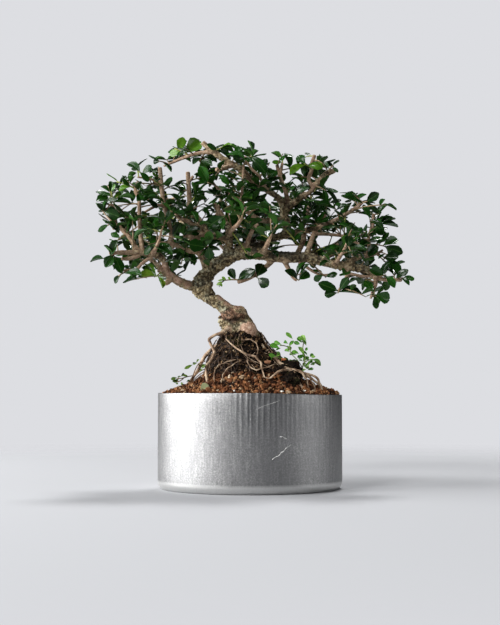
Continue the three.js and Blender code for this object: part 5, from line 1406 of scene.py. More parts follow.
# Where each spray's twig starts and ends, how many leaves fill it up, and its listed leaves:
# foot and tip as seen from the front, and how wide the leaf looks as a share of its length.
SPRAYS = {
    "left_point": ([-146, 258, -44], [-161, 252, -50], 1, [
        [-161, 253, -177, 251, 0.25], [-148, 254, -160, 243, 0.6], [-147, 250, -140, 240, 0.4],
        [-156, 259, -147, 271, 0.5]]),
    "left_low": ([-133, 239, -38], [-145, 233, -50], 0, [
        [-141, 239, -150, 225, 0.45], [-134, 239, -120, 234, 0.4], [-140, 240, -150, 248, 0.4]]),
    "left_light": ([-96, 238, -18], [-104, 232, -26], 0, [
        [-101, 232, -115, 245, 0.6], [-99, 232, -96, 220, 0.25], [-103, 232, -122, 236, 0.4]]),
    "left_bend": ([-152, 294, -31], [-157, 289, -38], 1, [
        [-155, 292, -169, 283, 0.45], [-154, 291, -145, 281, 0.4]]),
    "left_fork": ([-137, 279, -33], [-147, 272, -40], 1, [
        [-143, 278, -154, 281, 0.5], [-145, 274, -154, 268, 0.5], [-140, 275, -133, 263, 0.4]]),
    "left_shoulder": ([-158, 299, -30], [-164, 307, -34], 1, [
        [-162, 303, -170, 313, 0.4], [-161, 306, -145, 299, 0.6]]),
    "left_shoot": ([-150, 311, -32], [-154, 327, -34], 0, [
        [-154, 316, -170, 317, 0.25], [-154, 321, -169, 328, 0.35], [-151, 321, -141, 323, 0.5],
        [-154, 326, -150, 335, 0.3], [-150, 314, -131, 316, 0.25]]),
    "upright_one_top": ([-127, 330, -30], [-148, 338, -34], 0, [
        [-132, 331, -146, 329, 0.45], [-128, 332, -141, 341, 0.4], [-146, 338, -158, 348, 0.15]]),
    "upright_one": ([-123, 317, -30], [-112, 318, -40], 2, [
        [-121, 316, -101, 312, 0.35], [-120, 319, -103, 322, 0.3]]),
    "upright_one_low": ([-122, 295, -32], [-138, 298, -48], 4, []),
    "upright_two_top": ([-110, 341, -27], [-124, 349, -32], 0, [
        [-121, 347, -136, 360, 0.4], [-120, 346, -110, 356, 0.5], [-124, 346, -112, 341, 0.4]]),
    "arch_tip": ([-90, 357, 5], [-101, 361, -6], 0, [
        [-99, 354, -108, 360, 0.6], [-99, 358, -112, 368, 0.2], [-93, 358, -87, 349, 0.3]]),
    "arch_top": ([-68, 367, -3], [-84, 375, -4], 0, [
        [-72, 370, -55, 385, 0.7], [-79, 373, -75, 387, 0.7], [-78, 370, -90, 369, 0.6]]),
    "apex": ([-40, 371, -13], [-30, 377, -14], 1, [
        [-37, 372, -44, 380, 0.4], [-32, 375, -20, 379, 0.3], [-36, 372, -20, 365, 0.4]]),
    "apex_under": ([-50, 370, -9], [-56, 360, -14], 2, [
        [-52, 366, -64, 358, 0.45], [-54, 362, -42, 356, 0.5]]),
    "top_middle": ([-8, 355, -24], [4, 372, -30], 1, [
        [-6, 362, -24, 371, 0.3], [-8, 358, -18, 366, 0.5], [0, 367, 14, 361, 0.3],
        [2, 363, 18, 354, 0.4], [4, 371, -2, 384, 0.2]]),
    "top_front": ([-30, 353, -22], [-38, 345, -40], 3, []),
    "ridge": ([12, 333, -4], [22, 346, -14], 2, [
        [16, 339, 30, 352, 0.5]]),
    "stub_tip": ([35, 353, 5], [37, 366, 4], 0, [
        [36, 362, 24, 371, 0.25], [36, 360, 25, 360, 0.45], [37, 357, 48, 355, 0.3]]),
    "stub_side": ([34, 340, 7], [26, 344, -6], 2, [
        [28, 343, 12, 350, 0.5]]),
    "tall_stub": ([68, 352, 11], [60, 358, 2], 0, [
        [62, 357, 53, 369, 0.7], [64, 354, 44, 348, 0.35], [66, 352, 80, 357, 0.5]]),
    "wedge": ([84, 346, 13], [92, 356, 10], 0, [
        [88, 352, 78, 360, 0.4], [90, 354, 98, 351, 0.3], [92, 356, 98, 363, 0.3]]),
    "wedge_under": ([72, 333, 10], [84, 328, 2], 1, [
        [76, 332, 98, 328, 0.25], [78, 330, 84, 316, 0.4], [82, 329, 102, 315, 0.25]]),
    "high_cut": ([121, 312, -13], [130, 316, -20], 1, [
        [122, 314, 103, 322, 0.4], [127, 316, 143, 325, 0.6], [126, 313, 144, 304, 0.35]]),
    "high_shoot": ([111, 305, -9], [150, 312, -40], 0, [
        [150, 312, 163, 308, 0.25], [140, 311, 148, 318, 0.3]]),
    "right_upright": ([136, 291, -6], [144, 291, -10], 1, [
        [142, 291, 161, 297, 0.3], [144, 290, 164, 288, 0.25], [140, 291, 142, 305, 0.45],
        [139, 289, 146, 279, 0.6]]),
    "right_mid": ([132, 268, -11], [148, 266, -16], 1, [
        [146, 266, 164, 275, 0.5], [147, 264, 169, 259, 0.5], [138, 270, 154, 275, 0.3],
        [140, 266, 132, 257, 0.5]]),
    "right_fork": ([140, 258, -16], [150, 252, -24], 0, [
        [146, 255, 164, 254, 0.6], [149, 252, 167, 234, 0.4]]),
    "right_tip": ([156, 228, -28], [169, 231, -32], 0, [
        [168, 231, 182, 231, 0.4], [166, 230, 176, 224, 0.4], [160, 230, 172, 241, 0.4]]),
    "right_end": ([142, 231, -28], [150, 234, -40], 1, [
        [144, 233, 132, 240, 0.5], [148, 233, 160, 221, 0.5]]),
    "right_hanging": ([137, 219, -30], [137, 211, -38], 0, [
        [137, 214, 155, 207, 0.7], [138, 211, 140, 197, 0.45], [137, 217, 127, 229, 0.5]]),
    "under_limb": ([100, 220, -32], [97, 214, -38], 0, [
        [98, 216, 124, 216, 0.35], [98, 217, 78, 226, 0.5], [97, 215, 82, 212, 0.55],
        [100, 219, 108, 231, 0.5]]),
    "under_limb_left": ([49, 230, -25], [54, 228, -32], 0, [
        [53, 229, 64, 238, 0.8], [51, 230, 40, 240, 0.4]]),
    "under_twig": ([60, 252, -22], [84, 231, -18], 0, [
        [80, 233, 70, 228, 0.6], [83, 232, 96, 236, 0.45], [80, 234, 70, 243, 0.4]]),
    "hanging_left": ([-8, 228, -19], [-28, 228, -26], 0, [
        [-14, 229, -23, 241, 0.6], [-12, 229, 2, 241, 0.45], [-27, 228, -36, 223, 0.25]]),
    "hanging_right": ([4, 233, -18], [8, 231, -26], 0, [
        [6, 232, 15, 248, 0.75], [8, 231, 20, 222, 0.75]]),
    "star_left": ([-76, 297, -16], [-88, 305, -38], 4, []),
    "star_front": ([-52, 282, -15], [-58, 292, -44], 4, []),
    "centre_front": ([-26, 294, -13], [-28, 300, -38], 2, [
        [-31, 297, -9, 291, 0.6], [-27, 298, -47, 288, 0.65]]),
    "centre_low": ([-58, 259, -11], [-46, 266, -34], 1, [
        [-42, 268, -44, 251, 0.7], [-54, 262, -67, 268, 0.7], [-50, 264, -36, 272, 0.4]]),
    "left_inner": ([-99, 269, -24], [-112, 268, -46], 2, [
        [-120, 262, -102, 277, 0.65], [-104, 268, -86, 257, 0.4]]),
    "left_under": ([-72, 263, -17], [-76, 246, -34], 4, []),
    "centre_high": ([-34, 330, -20], [-47, 337, -35], 2, [
        [-38, 332, -64, 340, 0.35], [-44, 339, -56, 355, 0.55]]),
    "centre": ([-9, 322, -21], [-18, 328, -46], 4, []),
    "front_centre": ([-10, 295, -58], [-6, 306, -78], 4, []),
    "front_right": ([22, 276, -60], [30, 290, -82], 4, []),
    "front_far_right": ([107, 270, -67], [112, 284, -84], 4, []),
    "front_left": ([-98, 282, -68], [-94, 294, -84], 4, []),
    "back_left": ([-86, 309, 81], [-96, 326, 96], 5, []),
    "back_centre": ([3, 324, 85], [-2, 342, 98], 5, []),
    "back_right": ([106, 278, 80], [116, 292, 98], 5, []),
    "back_far_left": ([-128, 273, 51], [-140, 288, 66], 5, []),
    "back_high_right": ([66, 315, 70], [70, 334, 84], 5, []),
}
# Which spray's twig each fork grows from, where it ends, and how many leaves it has.
FORKS = [
    ("back_left", [-60, 322, 64], 5), ("back_centre", [-24, 328, 74], 4),
    ("back_centre", [12, 346, 62], 4), ("back_right", [92, 296, 74], 4),
    ("back_far_left", [-112, 294, 38], 5), ("back_high_right", [42, 326, 70], 4),
    ("stub_side", [18, 332, 30], 4), ("apex_under", [-40, 346, 28], 4),
]
print(len(SPRAYS), "sprays,", len(FORKS), "forks,", len(LIGHT_GAPS), "openings")

# %% Leaf frames, and the tests that a leaf has to pass
LEAF_LENGTH = (14, 21)
LEAF_WIDTH_RATIO = 0.52
LEAF_FOLD = 0.2
LEAF_ARCH = 0.16
LEAF_ROOM = 4.2
OWN_LEAF_ROOM = 2.5
WOOD_ROOM = 1.6
TRIES_PER_LEAF = 14
TWIG_BARE_SHARE = 0.25
FORK_SHARE = 0.5
BARE_SHARE = 0.3
LEAF_OPENING = (0.8, 1.35)
LEAF_LIFT = 0.15
GOLDEN_ANGLE = math.pi * (3 - math.sqrt(5))
SPRAY_SEED = 20251
# Places on a leaf's face that are tested: along it, and across it as a share of half its width.
LEAF_SAMPLES = np.array([[0.45, -0.6], [0.45, 0.6], [0.7, -0.9], [0.7, 0], [0.7, 0.9], [0.95, 0]])
MIDDLE_SAMPLE = 3
NEARBY = 30
DEPTH_STEPS = [-6, 5, -14, 13, -22, 21, 0]


def wood_runs(paths):
    """The straight runs of the limbs as arrays: start, way, and the radius at both ends."""
    pairs = [(a, b) for path in paths for a, b in zip(path, path[1:])]
    starts = np.array([place(a) for a, _ in pairs])
    ways = np.array([place(b) for _, b in pairs]) - starts
    return starts, ways, np.array([a[3] for a, _ in pairs]), np.array([b[3] for _, b in pairs])


RUNS = wood_runs(TRUNK + CROWN_WOOD + ROOTS)


def distance_to_wood(points):
    """How far each point is from the skin of the nearest limb or root."""
    starts, ways, first, last = RUNS
    gaps = points[:, None, :] - starts[None]
    share = np.clip((gaps * ways[None]).sum(2) / (ways * ways).sum(1), 0, 1)
    away = np.linalg.norm(gaps - share[..., None] * ways[None], axis=2)
    return (away - first - (last - first) * share).min(1)


OUTLINE_START = np.array(CROWN_OUTLINE, float)
OUTLINE_END = np.roll(OUTLINE_START, -1, axis=0)
GAPS = np.array(LIGHT_GAPS, float)


def inside_outline(seen):
    """Which places of the front view are inside the crown's edge, by counting the edges beside them."""
    x1, z1 = OUTLINE_START.T
    x2, z2 = OUTLINE_END.T
    across, up = seen[:, :1], seen[:, 1:]
    crosses = (z1 > up) != (z2 > up)
    with np.errstate(divide="ignore", invalid="ignore"):
        before = across < x1 + (x2 - x1) * (up - z1) / (z2 - z1)
    return (crosses & before).sum(1) % 2 == 1


def in_light_gap(seen):
    away = np.hypot(seen[:, :1] - GAPS[:, 0], seen[:, 1:] - GAPS[:, 1])
    return (away < GAPS[:, 2]).any(1)


def leaf_samples(leaf):
    """Six places on a leaf's face that stand for all of it in the tests."""
    x, y = LEAF_SAMPLES[:, :1], LEAF_SAMPLES[:, 1:]
    fold = LEAF_FOLD * np.abs(y) * leaf["width"] / 2
    arch = LEAF_ARCH * x * x * leaf["length"]
    side = np.cross(leaf["normal"], leaf["along"])
    return (leaf["base"] + leaf["along"] * x * leaf["length"]
            + side * y * leaf["width"] / 2 + leaf["normal"] * (fold - arch))


class TakenRoom:
    """The places that leaves already hold, and whose they are."""

    def __init__(self):
        self.samples = np.empty((0, 3))
        self.owners = np.empty(0, int)
        self.leaf_room = LEAF_ROOM
        self.own_room = OWN_LEAF_ROOM

    def has_room(self, samples, owner):
        near = np.abs(self.samples - samples.mean(0)).max(1) < NEARBY
        if not near.any():
            return True
        away = np.linalg.norm(self.samples[near][:, None] - samples[None], axis=2).min(1)
        room = np.where(self.owners[near] == owner, self.own_room, self.leaf_room)
        return bool((away > room).all())

    def keep(self, samples, owner):
        self.samples = np.vstack([self.samples, samples])
        self.owners = np.append(self.owners, [owner] * len(samples))


taken = TakenRoom()


def is_clear(leaf, owner):
    """Whether a leaf touches neither wood nor another leaf."""
    samples = leaf_samples(leaf)
    return bool((distance_to_wood(samples) > WOOD_ROOM).all()) and taken.has_room(samples, owner)


def is_in_crown(leaf):
    seen = seen_from_front(leaf_samples(leaf))
    return bool(inside_outline(seen).all()) and not in_light_gap(seen).any()


def leaf_between(base, tip, seen_width, least_width):
    """A leaf from its foot to its tip, turned to look as wide from the front as `seen_width` says."""
    length = np.linalg.norm(tip - base)
    along = (tip - base) / length
    ratio = max(least_width, seen_width)
    lean = math.acos(min(1, seen_width / ratio))
    forward = square_to(along, -DEPTH_WAY)
    upward = np.cross(forward, along)
    upward = -upward if upward[2] < 0 else upward
    normal = unit(forward * math.cos(lean) + upward * math.sin(lean))
    return {"base": base, "along": along, "normal": normal, "length": length, "width": length * ratio}


class Twig:
    """A straight twig, with the directions that its leaves are set out from."""

    def __init__(self, foot, tip):
        self.foot, self.tip = foot, tip
        self.ahead = unit(tip - foot)
        self.side = square_to(self.ahead, UP_WAY, ACROSS_WAY)
        self.other = np.cross(self.ahead, self.side)

    def at(self, share):
        return self.foot + (self.tip - self.foot) * share

    def way_out(self, opening, turn):
        """The way of a leaf that opens off the twig by one angle, at another angle round it."""
        return (self.ahead * math.cos(opening) + self.side * math.sin(opening) * math.cos(turn)
                + self.other * math.sin(opening) * math.sin(turn))

    def nearest_to(self, wanted):
        way = self.tip - self.foot
        share = (wanted - self.foot).dot(way) / way.dot(way)
        return self.at(min(max(share, TWIG_BARE_SHARE), 1))


def shown_leaf(numbers, order, twig, owner):
    """A listed leaf, leaned forward or back as far as it needs to be clear of the others."""
    from_across, from_up, tip_across, tip_up, seen_width = numbers
    base = twig.nearest_to(place((from_across, from_up, twig.tip[1])))
    depths = DEPTH_STEPS if order % 2 else [-step for step in DEPTH_STEPS]
    tries = [leaf_between(base, place((tip_across, tip_up, twig.tip[1] + step)), seen_width,
                          LEAF_WIDTH_RATIO) for step in depths]
    return next((leaf for leaf in tries if is_clear(leaf, owner)), tries[0])


def drawn_leaf(twig, order, count, draw):
    """A leaf at random, at its own place along the twig and a golden angle on from the one before."""
    share = BARE_SHARE + (1 - BARE_SHARE) * (order + draw(0.2, 0.8)) / count
    turn = GOLDEN_ANGLE * order + draw(-0.6, 0.6)
    along = twig.way_out(draw(*LEAF_OPENING), turn)
    along[2] += LEAF_LIFT
    along = unit(along)
    normal = square_to(along, np.array([draw(-0.5, 0.5), draw(-0.8, 0.2), 1]))
    length = draw(*LEAF_LENGTH)
    return {"base": twig.at(share), "along": along, "normal": normal, "length": length,
            "width": length * LEAF_WIDTH_RATIO}


def filling_leaf(twig, order, count, draw, owner):
    """The first leaf drawn that is inside the crown and clear of the others, if there is one."""
    for _ in range(TRIES_PER_LEAF):
        leaf = drawn_leaf(twig, order, count, draw)
        if is_in_crown(leaf) and is_clear(leaf, owner):
            return leaf
    return None


def model_leaves():
    """The leaves of every spray in the model, by the same rule and the same draws."""
    draw = seeded_numbers(SPRAY_SEED)
    leaves, twigs, forks = {}, {}, []

    def fill_up(name, twig, owner, shown, fill):
        made = [(shown_leaf, (numbers, order, twig, owner)) for order, numbers in enumerate(shown)]
        made += [(filling_leaf, (twig, order, fill, draw, owner)) for order in range(fill)]
        for make, values in made:
            leaf = make(*values)
            if leaf:
                leaves[name].append(leaf)
                taken.keep(leaf_samples(leaf), owner)

    for owner, (name, (foot, tip, fill, shown)) in enumerate(SPRAYS.items()):
        twigs[name] = Twig(place(foot), place(tip))
        leaves[name] = []
        fill_up(name, twigs[name], owner, shown, fill)
    for name, tip, fill in FORKS:
        forks.append(Twig(twigs[name].at(FORK_SHARE), place(tip)))
        fill_up(name, forks[-1], list(SPRAYS).index(name), [], fill)
    return leaves, list(twigs.values()) + forks


spray_leaves, spray_twigs = model_leaves()
print("leaves of the model:", sum(len(leaves) for leaves in spray_leaves.values()))

# %% Tufts in the depth of the crown
TUFT_LEAVES = 6
LEAST_TUFT = 2
TRIES_PER_TUFT_LEAF = 3
TUFT_BARE_SHARE = 0.35
TUFT_OPENING = (0.55, 1.5)
TUFT_FLATTENING = 0.55
TUFT_LENGTH = (11.5, 20)
TUFT_WIDTH_RATIO = (0.46, 0.58)
TUFT_ROOM = (3.1, 2.1)
SPUR_LENGTH = (5, 15)
SHOOT_LENGTH = (18, 38)
SHOOT_SHARE = 0.3
SHOOT_MORE_LEAVES = 3
SPUR_SITE_STEP = 2
THICKEST_SPUR_WOOD = 5.2
MOST_LEAVES = 1400
ROUNDS = 6
HIDING_SHARE = 0.1
KEPT_CLEAR = 5.5
LIMB_MARGIN = 3
FIRST_SPUR_OWNER = 1000
TUFT_SEED = 808
# Leaves mostly keep clear of the limbs that the front view shows, but for the thinnest.
THIN_TO_SHOW = 1.6
FRONT_WOOD = TRUNK + RIGHT_LIMBS[:1] + CENTRE_LIMBS + UPPER_LIMBS + LEFT_LIMBS
SHOWN_WOOD = wood_runs([path for path in FRONT_WOOD if typical_radius(path) > THIN_TO_SHOW])


def hides_wood(leaf):
    """Whether a leaf stands in front of a limb that the front view should show."""
    starts, ways, first, last = SHOWN_WOOD
    middle = leaf_samples(leaf)[MIDDLE_SAMPLE]
    seen = seen_from_front(middle[None])[0]
    line_start = seen_from_front(starts)
    line_way = seen_from_front(starts + ways) - line_start
    gaps = seen - line_start
    share = np.clip((gaps * line_way).sum(1) / (line_way * line_way).sum(1), 0, 1)
    away = np.linalg.norm(gaps - share[:, None] * line_way, axis=1)
    depth = starts[:, 1] + ways[:, 1] * share
    return bool(((away < first + LIMB_MARGIN) & (middle[1] < depth)).any())


def written_leaves():
    """Middle, seen from the front, and depth of each leaf that is listed in the sprays."""
    middles = np.array([
        leaf_samples(leaf)[MIDDLE_SAMPLE]
        for name, (_, _, _, shown) in SPRAYS.items() for leaf in spray_leaves[name][:len(shown)]])
    return seen_from_front(middles), middles[:, 1]


WRITTEN_SEEN, WRITTEN_DEPTH = written_leaves()


def hides_written_leaf(leaf):
    samples = leaf_samples(leaf)
    away = np.linalg.norm(seen_from_front(samples)[:, None] - WRITTEN_SEEN[None], axis=2).min(0)
    return bool(((away < KEPT_CLEAR) & (samples[:, 1].mean() < WRITTEN_DEPTH)).any())


def tuft_leaf(twig, order, count, draw):
    """A leaf that spreads nearly level off its spur, with its face to the light."""
    share = TUFT_BARE_SHARE + (1 - TUFT_BARE_SHARE) * (order + 1) / count
    turn = GOLDEN_ANGLE * order + draw(-0.5, 0.5)
    along = twig.way_out(draw(*TUFT_OPENING), turn)
    along[2] = TUFT_FLATTENING * along[2] + draw(-0.05, 0.3)
    along = unit(along)
    normal = square_to(along, np.array([draw(-0.5, 0.4), draw(-0.85, 0.25), 1]))
    length = draw(*TUFT_LENGTH)
    return {"base": twig.at(share), "along": along, "normal": normal, "length": length,
            "width": length * draw(*TUFT_WIDTH_RATIO), "share": share}


def grow_tuft(foot, ahead, length, count, draw, owner):
    """A spur with its leaves. It ends where the last of them grows."""
    twig = Twig(foot, foot + ahead * length)
    kept = []
    for order in range(count):
        for _ in range(TRIES_PER_TUFT_LEAF):
            leaf = tuft_leaf(twig, order, count, draw)
            if not is_in_crown(leaf) or not is_clear(leaf, owner) or hides_written_leaf(leaf):
                continue
            if hides_wood(leaf) and draw(0, 1) > HIDING_SHARE:
                continue
            kept.append(leaf)
            taken.keep(leaf_samples(leaf), owner)
            break
    if kept:
        twig = Twig(foot, twig.at(kept[-1]["share"]))
    return twig, kept


def spur_sites(draw):
    """Places on thin wood where a spur may grow: where, which way the limb runs, and its radius."""
    sites = []
    for curve, widths in smooth_paths(CROWN_WOOD):
        for i in range(len(curve) // 5, len(curve) - 1, SPUR_SITE_STEP):
            if widths[i] < THICKEST_SPUR_WOOD:
                sites.append((curve[i], unit(curve[i + 1] - curve[i]), widths[i]))
    for i in reversed(range(1, len(sites))):
        j = int(draw(0, i + 1))
        sites[i], sites[j] = sites[j], sites[i]
    return sites


def extra_tufts():
    """Asks every site again and again, in a new order each time, until there are leaves enough."""
    draw = seeded_numbers(TUFT_SEED)
    tufts = []
    total = 0
    owner = FIRST_SPUR_OWNER
    for _ in range(ROUNDS):
        for foot, ahead, radius in spur_sites(draw):
            if total >= MOST_LEAVES:
                return tufts
            away = np.array([draw(-1, 1), draw(-1, 1), draw(-0.35, 1)])
            away = unit(away - ahead * away.dot(ahead) * 0.7)
            long_shoot = draw(0, 1) < SHOOT_SHARE
            length = draw(*(SHOOT_LENGTH if long_shoot else SPUR_LENGTH)) + radius
            count = TUFT_LEAVES + SHOOT_MORE_LEAVES * long_shoot
            twig, leaves = grow_tuft(foot, away, length, count, draw, owner)
            owner += 1
            if len(leaves) >= LEAST_TUFT:
                tufts.append((twig, leaves))
                total += len(leaves)
    return tufts


taken.leaf_room, taken.own_room = TUFT_ROOM
extra = extra_tufts()
print("more leaves:", sum(len(leaves) for _, leaves in extra), "on", len(extra), "spurs")

# %% [markdown]
# ## The leaves
#
# A fukien tea leaf is 1 to 2 cm long, spoon-shaped, with a few blunt teeth round its tip, leathery, dark
# and so glossy that each half of the folded blade catches its own highlight. It is modelled once in each
# of a few poses, as a thin closed blade, and Geometry Nodes set a copy on every leaf's place. The place
# carries the turn, the size and the tone as attributes. Realizing the instances at the end turns them
# into a plain mesh.

# %% Leaf patterns
# Places along the blade, how wide it is there, and how far its edge waves in and out.
STATIONS = [
    (0.0, 0.05, 0), (0.12, 0.13, 0), (0.29, 0.56, 0.04), (0.48, 0.88, -0.03), (0.67, 1.0, 0.04),
    (0.86, 0.78, -0.05), (1.0, 0.3, 0.12),
]
ACROSS = [-1, -0.5, 0, 0.5, 1]
TIP_NOTCH = 0.035
TIP_CORNER = 0.05
BLADE = 0.026


def blade_faces(rows, columns):
    """The quads of both faces of a blade and of its rim, and the edges of the rim on the upper face."""
    below = rows * columns
    faces = []
    for i in range(rows - 1):
        for j in range(columns - 1):
            a = i * columns + j
            faces.append((a, a + columns, a + columns + 1, a + 1))
            faces.append((below + a, below + a + 1, below + a + columns + 1, below + a + columns))
    end = (rows - 1) * columns
    rim = [(a, a + columns) for a in range(0, end, columns)]
    rim += [(end + j, end + j + 1) for j in range(columns - 1)]
    rim += [(a + columns, a) for a in reversed(range(columns - 1, end, columns))]
    rim += [(j + 1, j) for j in reversed(range(columns - 1))]
    return faces + [(a, below + a, below + b, b) for a, b in rim], rim


def leaf_pattern(name, fold, arch, curl, twist):
    """A closed blade, one unit long and one unit wide, its midrib along X and its face up."""
    rows, columns = len(STATIONS), len(ACROSS)
    vertices, uvs = [], []
    for side in (1, -1):
        for x, half, wave in STATIONS:
            for y in ACROSS:
                at_edge, at_end = abs(y) == 1, x == 1
                across = y * half / 2 * (1 + wave * at_edge)
                lift = fold * abs(across) - arch * x * x - curl * (2 * across) ** 2 * x
                lift += twist * across * x
                notch = (TIP_NOTCH * (y == 0) + TIP_CORNER * at_edge) * at_end
                vertices.append((x - notch, across, lift + side * BLADE / 2))
                uvs.append((x, 0.5 + across))
    faces, rim = blade_faces(rows, columns)
    surface = 2 * (rows - 1) * (columns - 1)
    mesh = bpy.data.meshes.new(name)
    mesh.from_pydata(vertices, [], faces)
    layer = mesh.uv_layers.new(name="UVMap")
    for loop in mesh.loops:
        layer.data[loop.index].uv = uvs[loop.vertex_index]
    under = mesh.attributes.new("underside", "FLOAT", "FACE")
    under.data.foreach_set("value", [float(i % 2 == 1 and i < surface) for i in range(len(faces))])
    mesh.polygons.foreach_set("use_smooth", [i < surface for i in range(len(faces))])
    below = rows * columns
    sharp = {tuple(sorted((lift + a, lift + b))) for a, b in rim for lift in (0, below)}
    for edge in mesh.edges:
        edge.use_edge_sharp = tuple(sorted(edge.vertices)) in sharp
    mesh.update()
    return bpy.data.objects.new(name, mesh)


leaf_patterns = pattern_collection("leaf_patterns", [
    leaf_pattern("leaf_flat", fold=0.12, arch=0.08, curl=0.1, twist=0.05),
    leaf_pattern("leaf_folded", fold=0.62, arch=0.16, curl=0.18, twist=-0.06),
    leaf_pattern("leaf_arched", fold=0.36, arch=0.27, curl=0.22, twist=0.12),
    leaf_pattern("leaf_cupped", fold=0.44, arch=0.05, curl=0.0, twist=-0.12),
])

# %% The tree that sets leaves on their places


def leaf_tree():
    """A leaf on each place, of the kind, turn and size that the place carries."""
    group, named = new_node_group("set_leaves", {
        "Leaves": "NodeSocketCollection", "Material": "NodeSocketMaterial"})
    given = add(group, "NodeGroupInput").outputs
    patterns = add(group, "GeometryNodeCollectionInfo", {
        "Collection": given["Leaves"], "Separate Children": True, "Reset Children": True})
    turn = add(group, "GeometryNodeInputNamedAttribute", {"Name": "turn"}, data_type="FLOAT_VECTOR")
    size = add(group, "GeometryNodeInputNamedAttribute", {"Name": "size"}, data_type="FLOAT_VECTOR")
    kind = add(group, "GeometryNodeInputNamedAttribute", {"Name": "kind"}, data_type="INT")
    rotation = add(group, "FunctionNodeEulerToRotation", {"Euler": turn})
    placed = add(group, "GeometryNodeInstanceOnPoints", {
        "Points": given["Geometry"], "Instance": patterns, "Pick Instance": True, "Instance Index": kind,
        "Rotation": rotation, "Scale": size})
    real = add(group, "GeometryNodeRealizeInstances", {"Geometry": placed})
    painted = add(group, "GeometryNodeSetMaterial", {"Geometry": real, "Material": given["Material"]})
    add(group, "NodeGroupOutput", {"Geometry": painted})
    return group, named


set_leaves, leaf_inputs = leaf_tree()


def leaves_piece(name, leaves, material, draw, tones=(0.1, 0.5)):
    """One mesh of all the leaves in a list. A leaf with no tone of its own gets a drawn one."""
    piece = mesh_piece(name, [leaf["base"] for leaf in leaves], [])
    turns, sizes, kinds, shades = [], [], [], []
    for leaf in leaves:
        side = np.cross(leaf["normal"], leaf["along"])
        turns += Matrix((leaf["along"], side, leaf["normal"])).transposed().to_euler()
        sizes += [leaf["length"] * MM, leaf["width"] * MM, leaf["length"] * MM]
        kinds.append(int(draw(0, len(leaf_patterns.objects))))
        shades.append(leaf.get("tone", draw(*tones)))
    for title, kind, values in (("turn", "FLOAT_VECTOR", turns), ("size", "FLOAT_VECTOR", sizes),
                                ("kind", "INT", kinds), ("tone", "FLOAT", shades)):
        written = piece.data.attributes.new(title, kind, "POINT").data
        written.foreach_set("vector" if kind == "FLOAT_VECTOR" else "value", values)
    return run_nodes(piece, set_leaves, leaf_inputs, {"Leaves": leaf_patterns, "Material": material})


def glossy_leaf(name, shades, roughness, coat):
    """A waxy leaf: dark green under a clear gloss, a paler midrib and veins, matte below."""
    material, tree, shader, on_piece = new_material(name)
    tone = add(tree, "ShaderNodeAttribute", attribute_name="tone").outputs["Fac"]
    below = add(tree, "ShaderNodeAttribute", attribute_name="underside").outputs["Fac"]
    mottle = add(tree, "ShaderNodeTexNoise", {"Vector": on_piece, "Scale": 260, "Detail": 3})
    mixed_tone = add(tree, "ShaderNodeMath", {0: mottle, 1: 0.3, 2: tone}, operation="MULTIPLY_ADD")
    centred = add(tree, "ShaderNodeMath", {0: mixed_tone, 1: 0.15}, operation="SUBTRACT")
    green = add(tree, "ShaderNodeValToRGB", {"Fac": centred}, stops=shades)
    # The midrib is the line in the middle of the blade, and the veins slant away from it to both sides.
    blade = add(tree, "ShaderNodeSeparateXYZ", {"Vector": add(tree, "ShaderNodeUVMap")}).outputs
    off_middle = add(tree, "ShaderNodeMath", {0: blade["Y"], 1: 0.5}, operation="SUBTRACT")
    off = add(tree, "ShaderNodeMath", {0: off_middle}, operation="ABSOLUTE")
    rib = add(tree, "ShaderNodeMapRange", {
        "Value": off, "From Min": 0.008, "From Max": 0.03, "To Min": 1.0, "To Max": 0.0})
    slant = add(tree, "ShaderNodeMath", {0: off, 1: -0.9, 2: blade["X"]}, operation="MULTIPLY_ADD")
    vein_wave = add(tree, "ShaderNodeMath", {0: slant, 1: 46}, operation="MULTIPLY")
    veins = add(tree, "ShaderNodeMath", {0: vein_wave}, operation="SINE")
    vein = add(tree, "ShaderNodeMapRange", {"Value": veins, "From Min": 0.82, "To Max": 0.3})
    line = add(tree, "ShaderNodeMath", {0: rib, 1: vein}, operation="MAXIMUM")
    line_share = add(tree, "ShaderNodeMath", {0: line, 1: 0.3}, operation="MULTIPLY")
    ribbed = add(tree, "ShaderNodeMix", {
        "Factor": line_share, "A": green, "B": colour("#6f9548")}, data_type="RGBA")
    sided = add(tree, "ShaderNodeMix", {
        "Factor": below, "A": ribbed, "B": colour("#33591f")}, data_type="RGBA")
    rough = add(tree, "ShaderNodeMapRange", {"Value": below, "To Min": roughness, "To Max": 0.6})
    bump = add(tree, "ShaderNodeBump", {"Height": line, "Strength": 0.35, "Distance": 0.0003}, invert=True)
    wire(tree, shader, {
        "Base Color": sided, "Roughness": rough, "Specular IOR Level": 0.12, "Coat Weight": coat,
        "Coat Roughness": 0.13, "Normal": bump})
    return material


LEAF_SHADES = [
    (0.0, "#061a03"), (0.25, "#0d3206"), (0.5, "#1e500e"), (0.75, "#55801b"), (1.0, "#93a83c"),
]
leaf_material = glossy_leaf("waxy_fukien_tea_leaf", LEAF_SHADES, 0.3, 0.32)
print("leaf tree and material ready")

# %% Dress every spray
YOUNG_SPRAYS = {"arch_top": 0.52, "left_light": 0.5, "left_shoot": 0.3, "upright_one_top": 0.3,
                "apex": 0.3, "stub_tip": 0.3, "tall_stub": 0.25, "upright_two_top": 0.15}
YOUNG_FILL_SHARE = 0.4
YOUNG_TUFT_SHARE = 0.08
YOUNG_TUFT_TONE = 0.22
PALEST_TONE = 0.9
TONE_SEED = 17
SHADED_SPRAYS = ("hanging_left", "hanging_right")
SHADE = 0.25
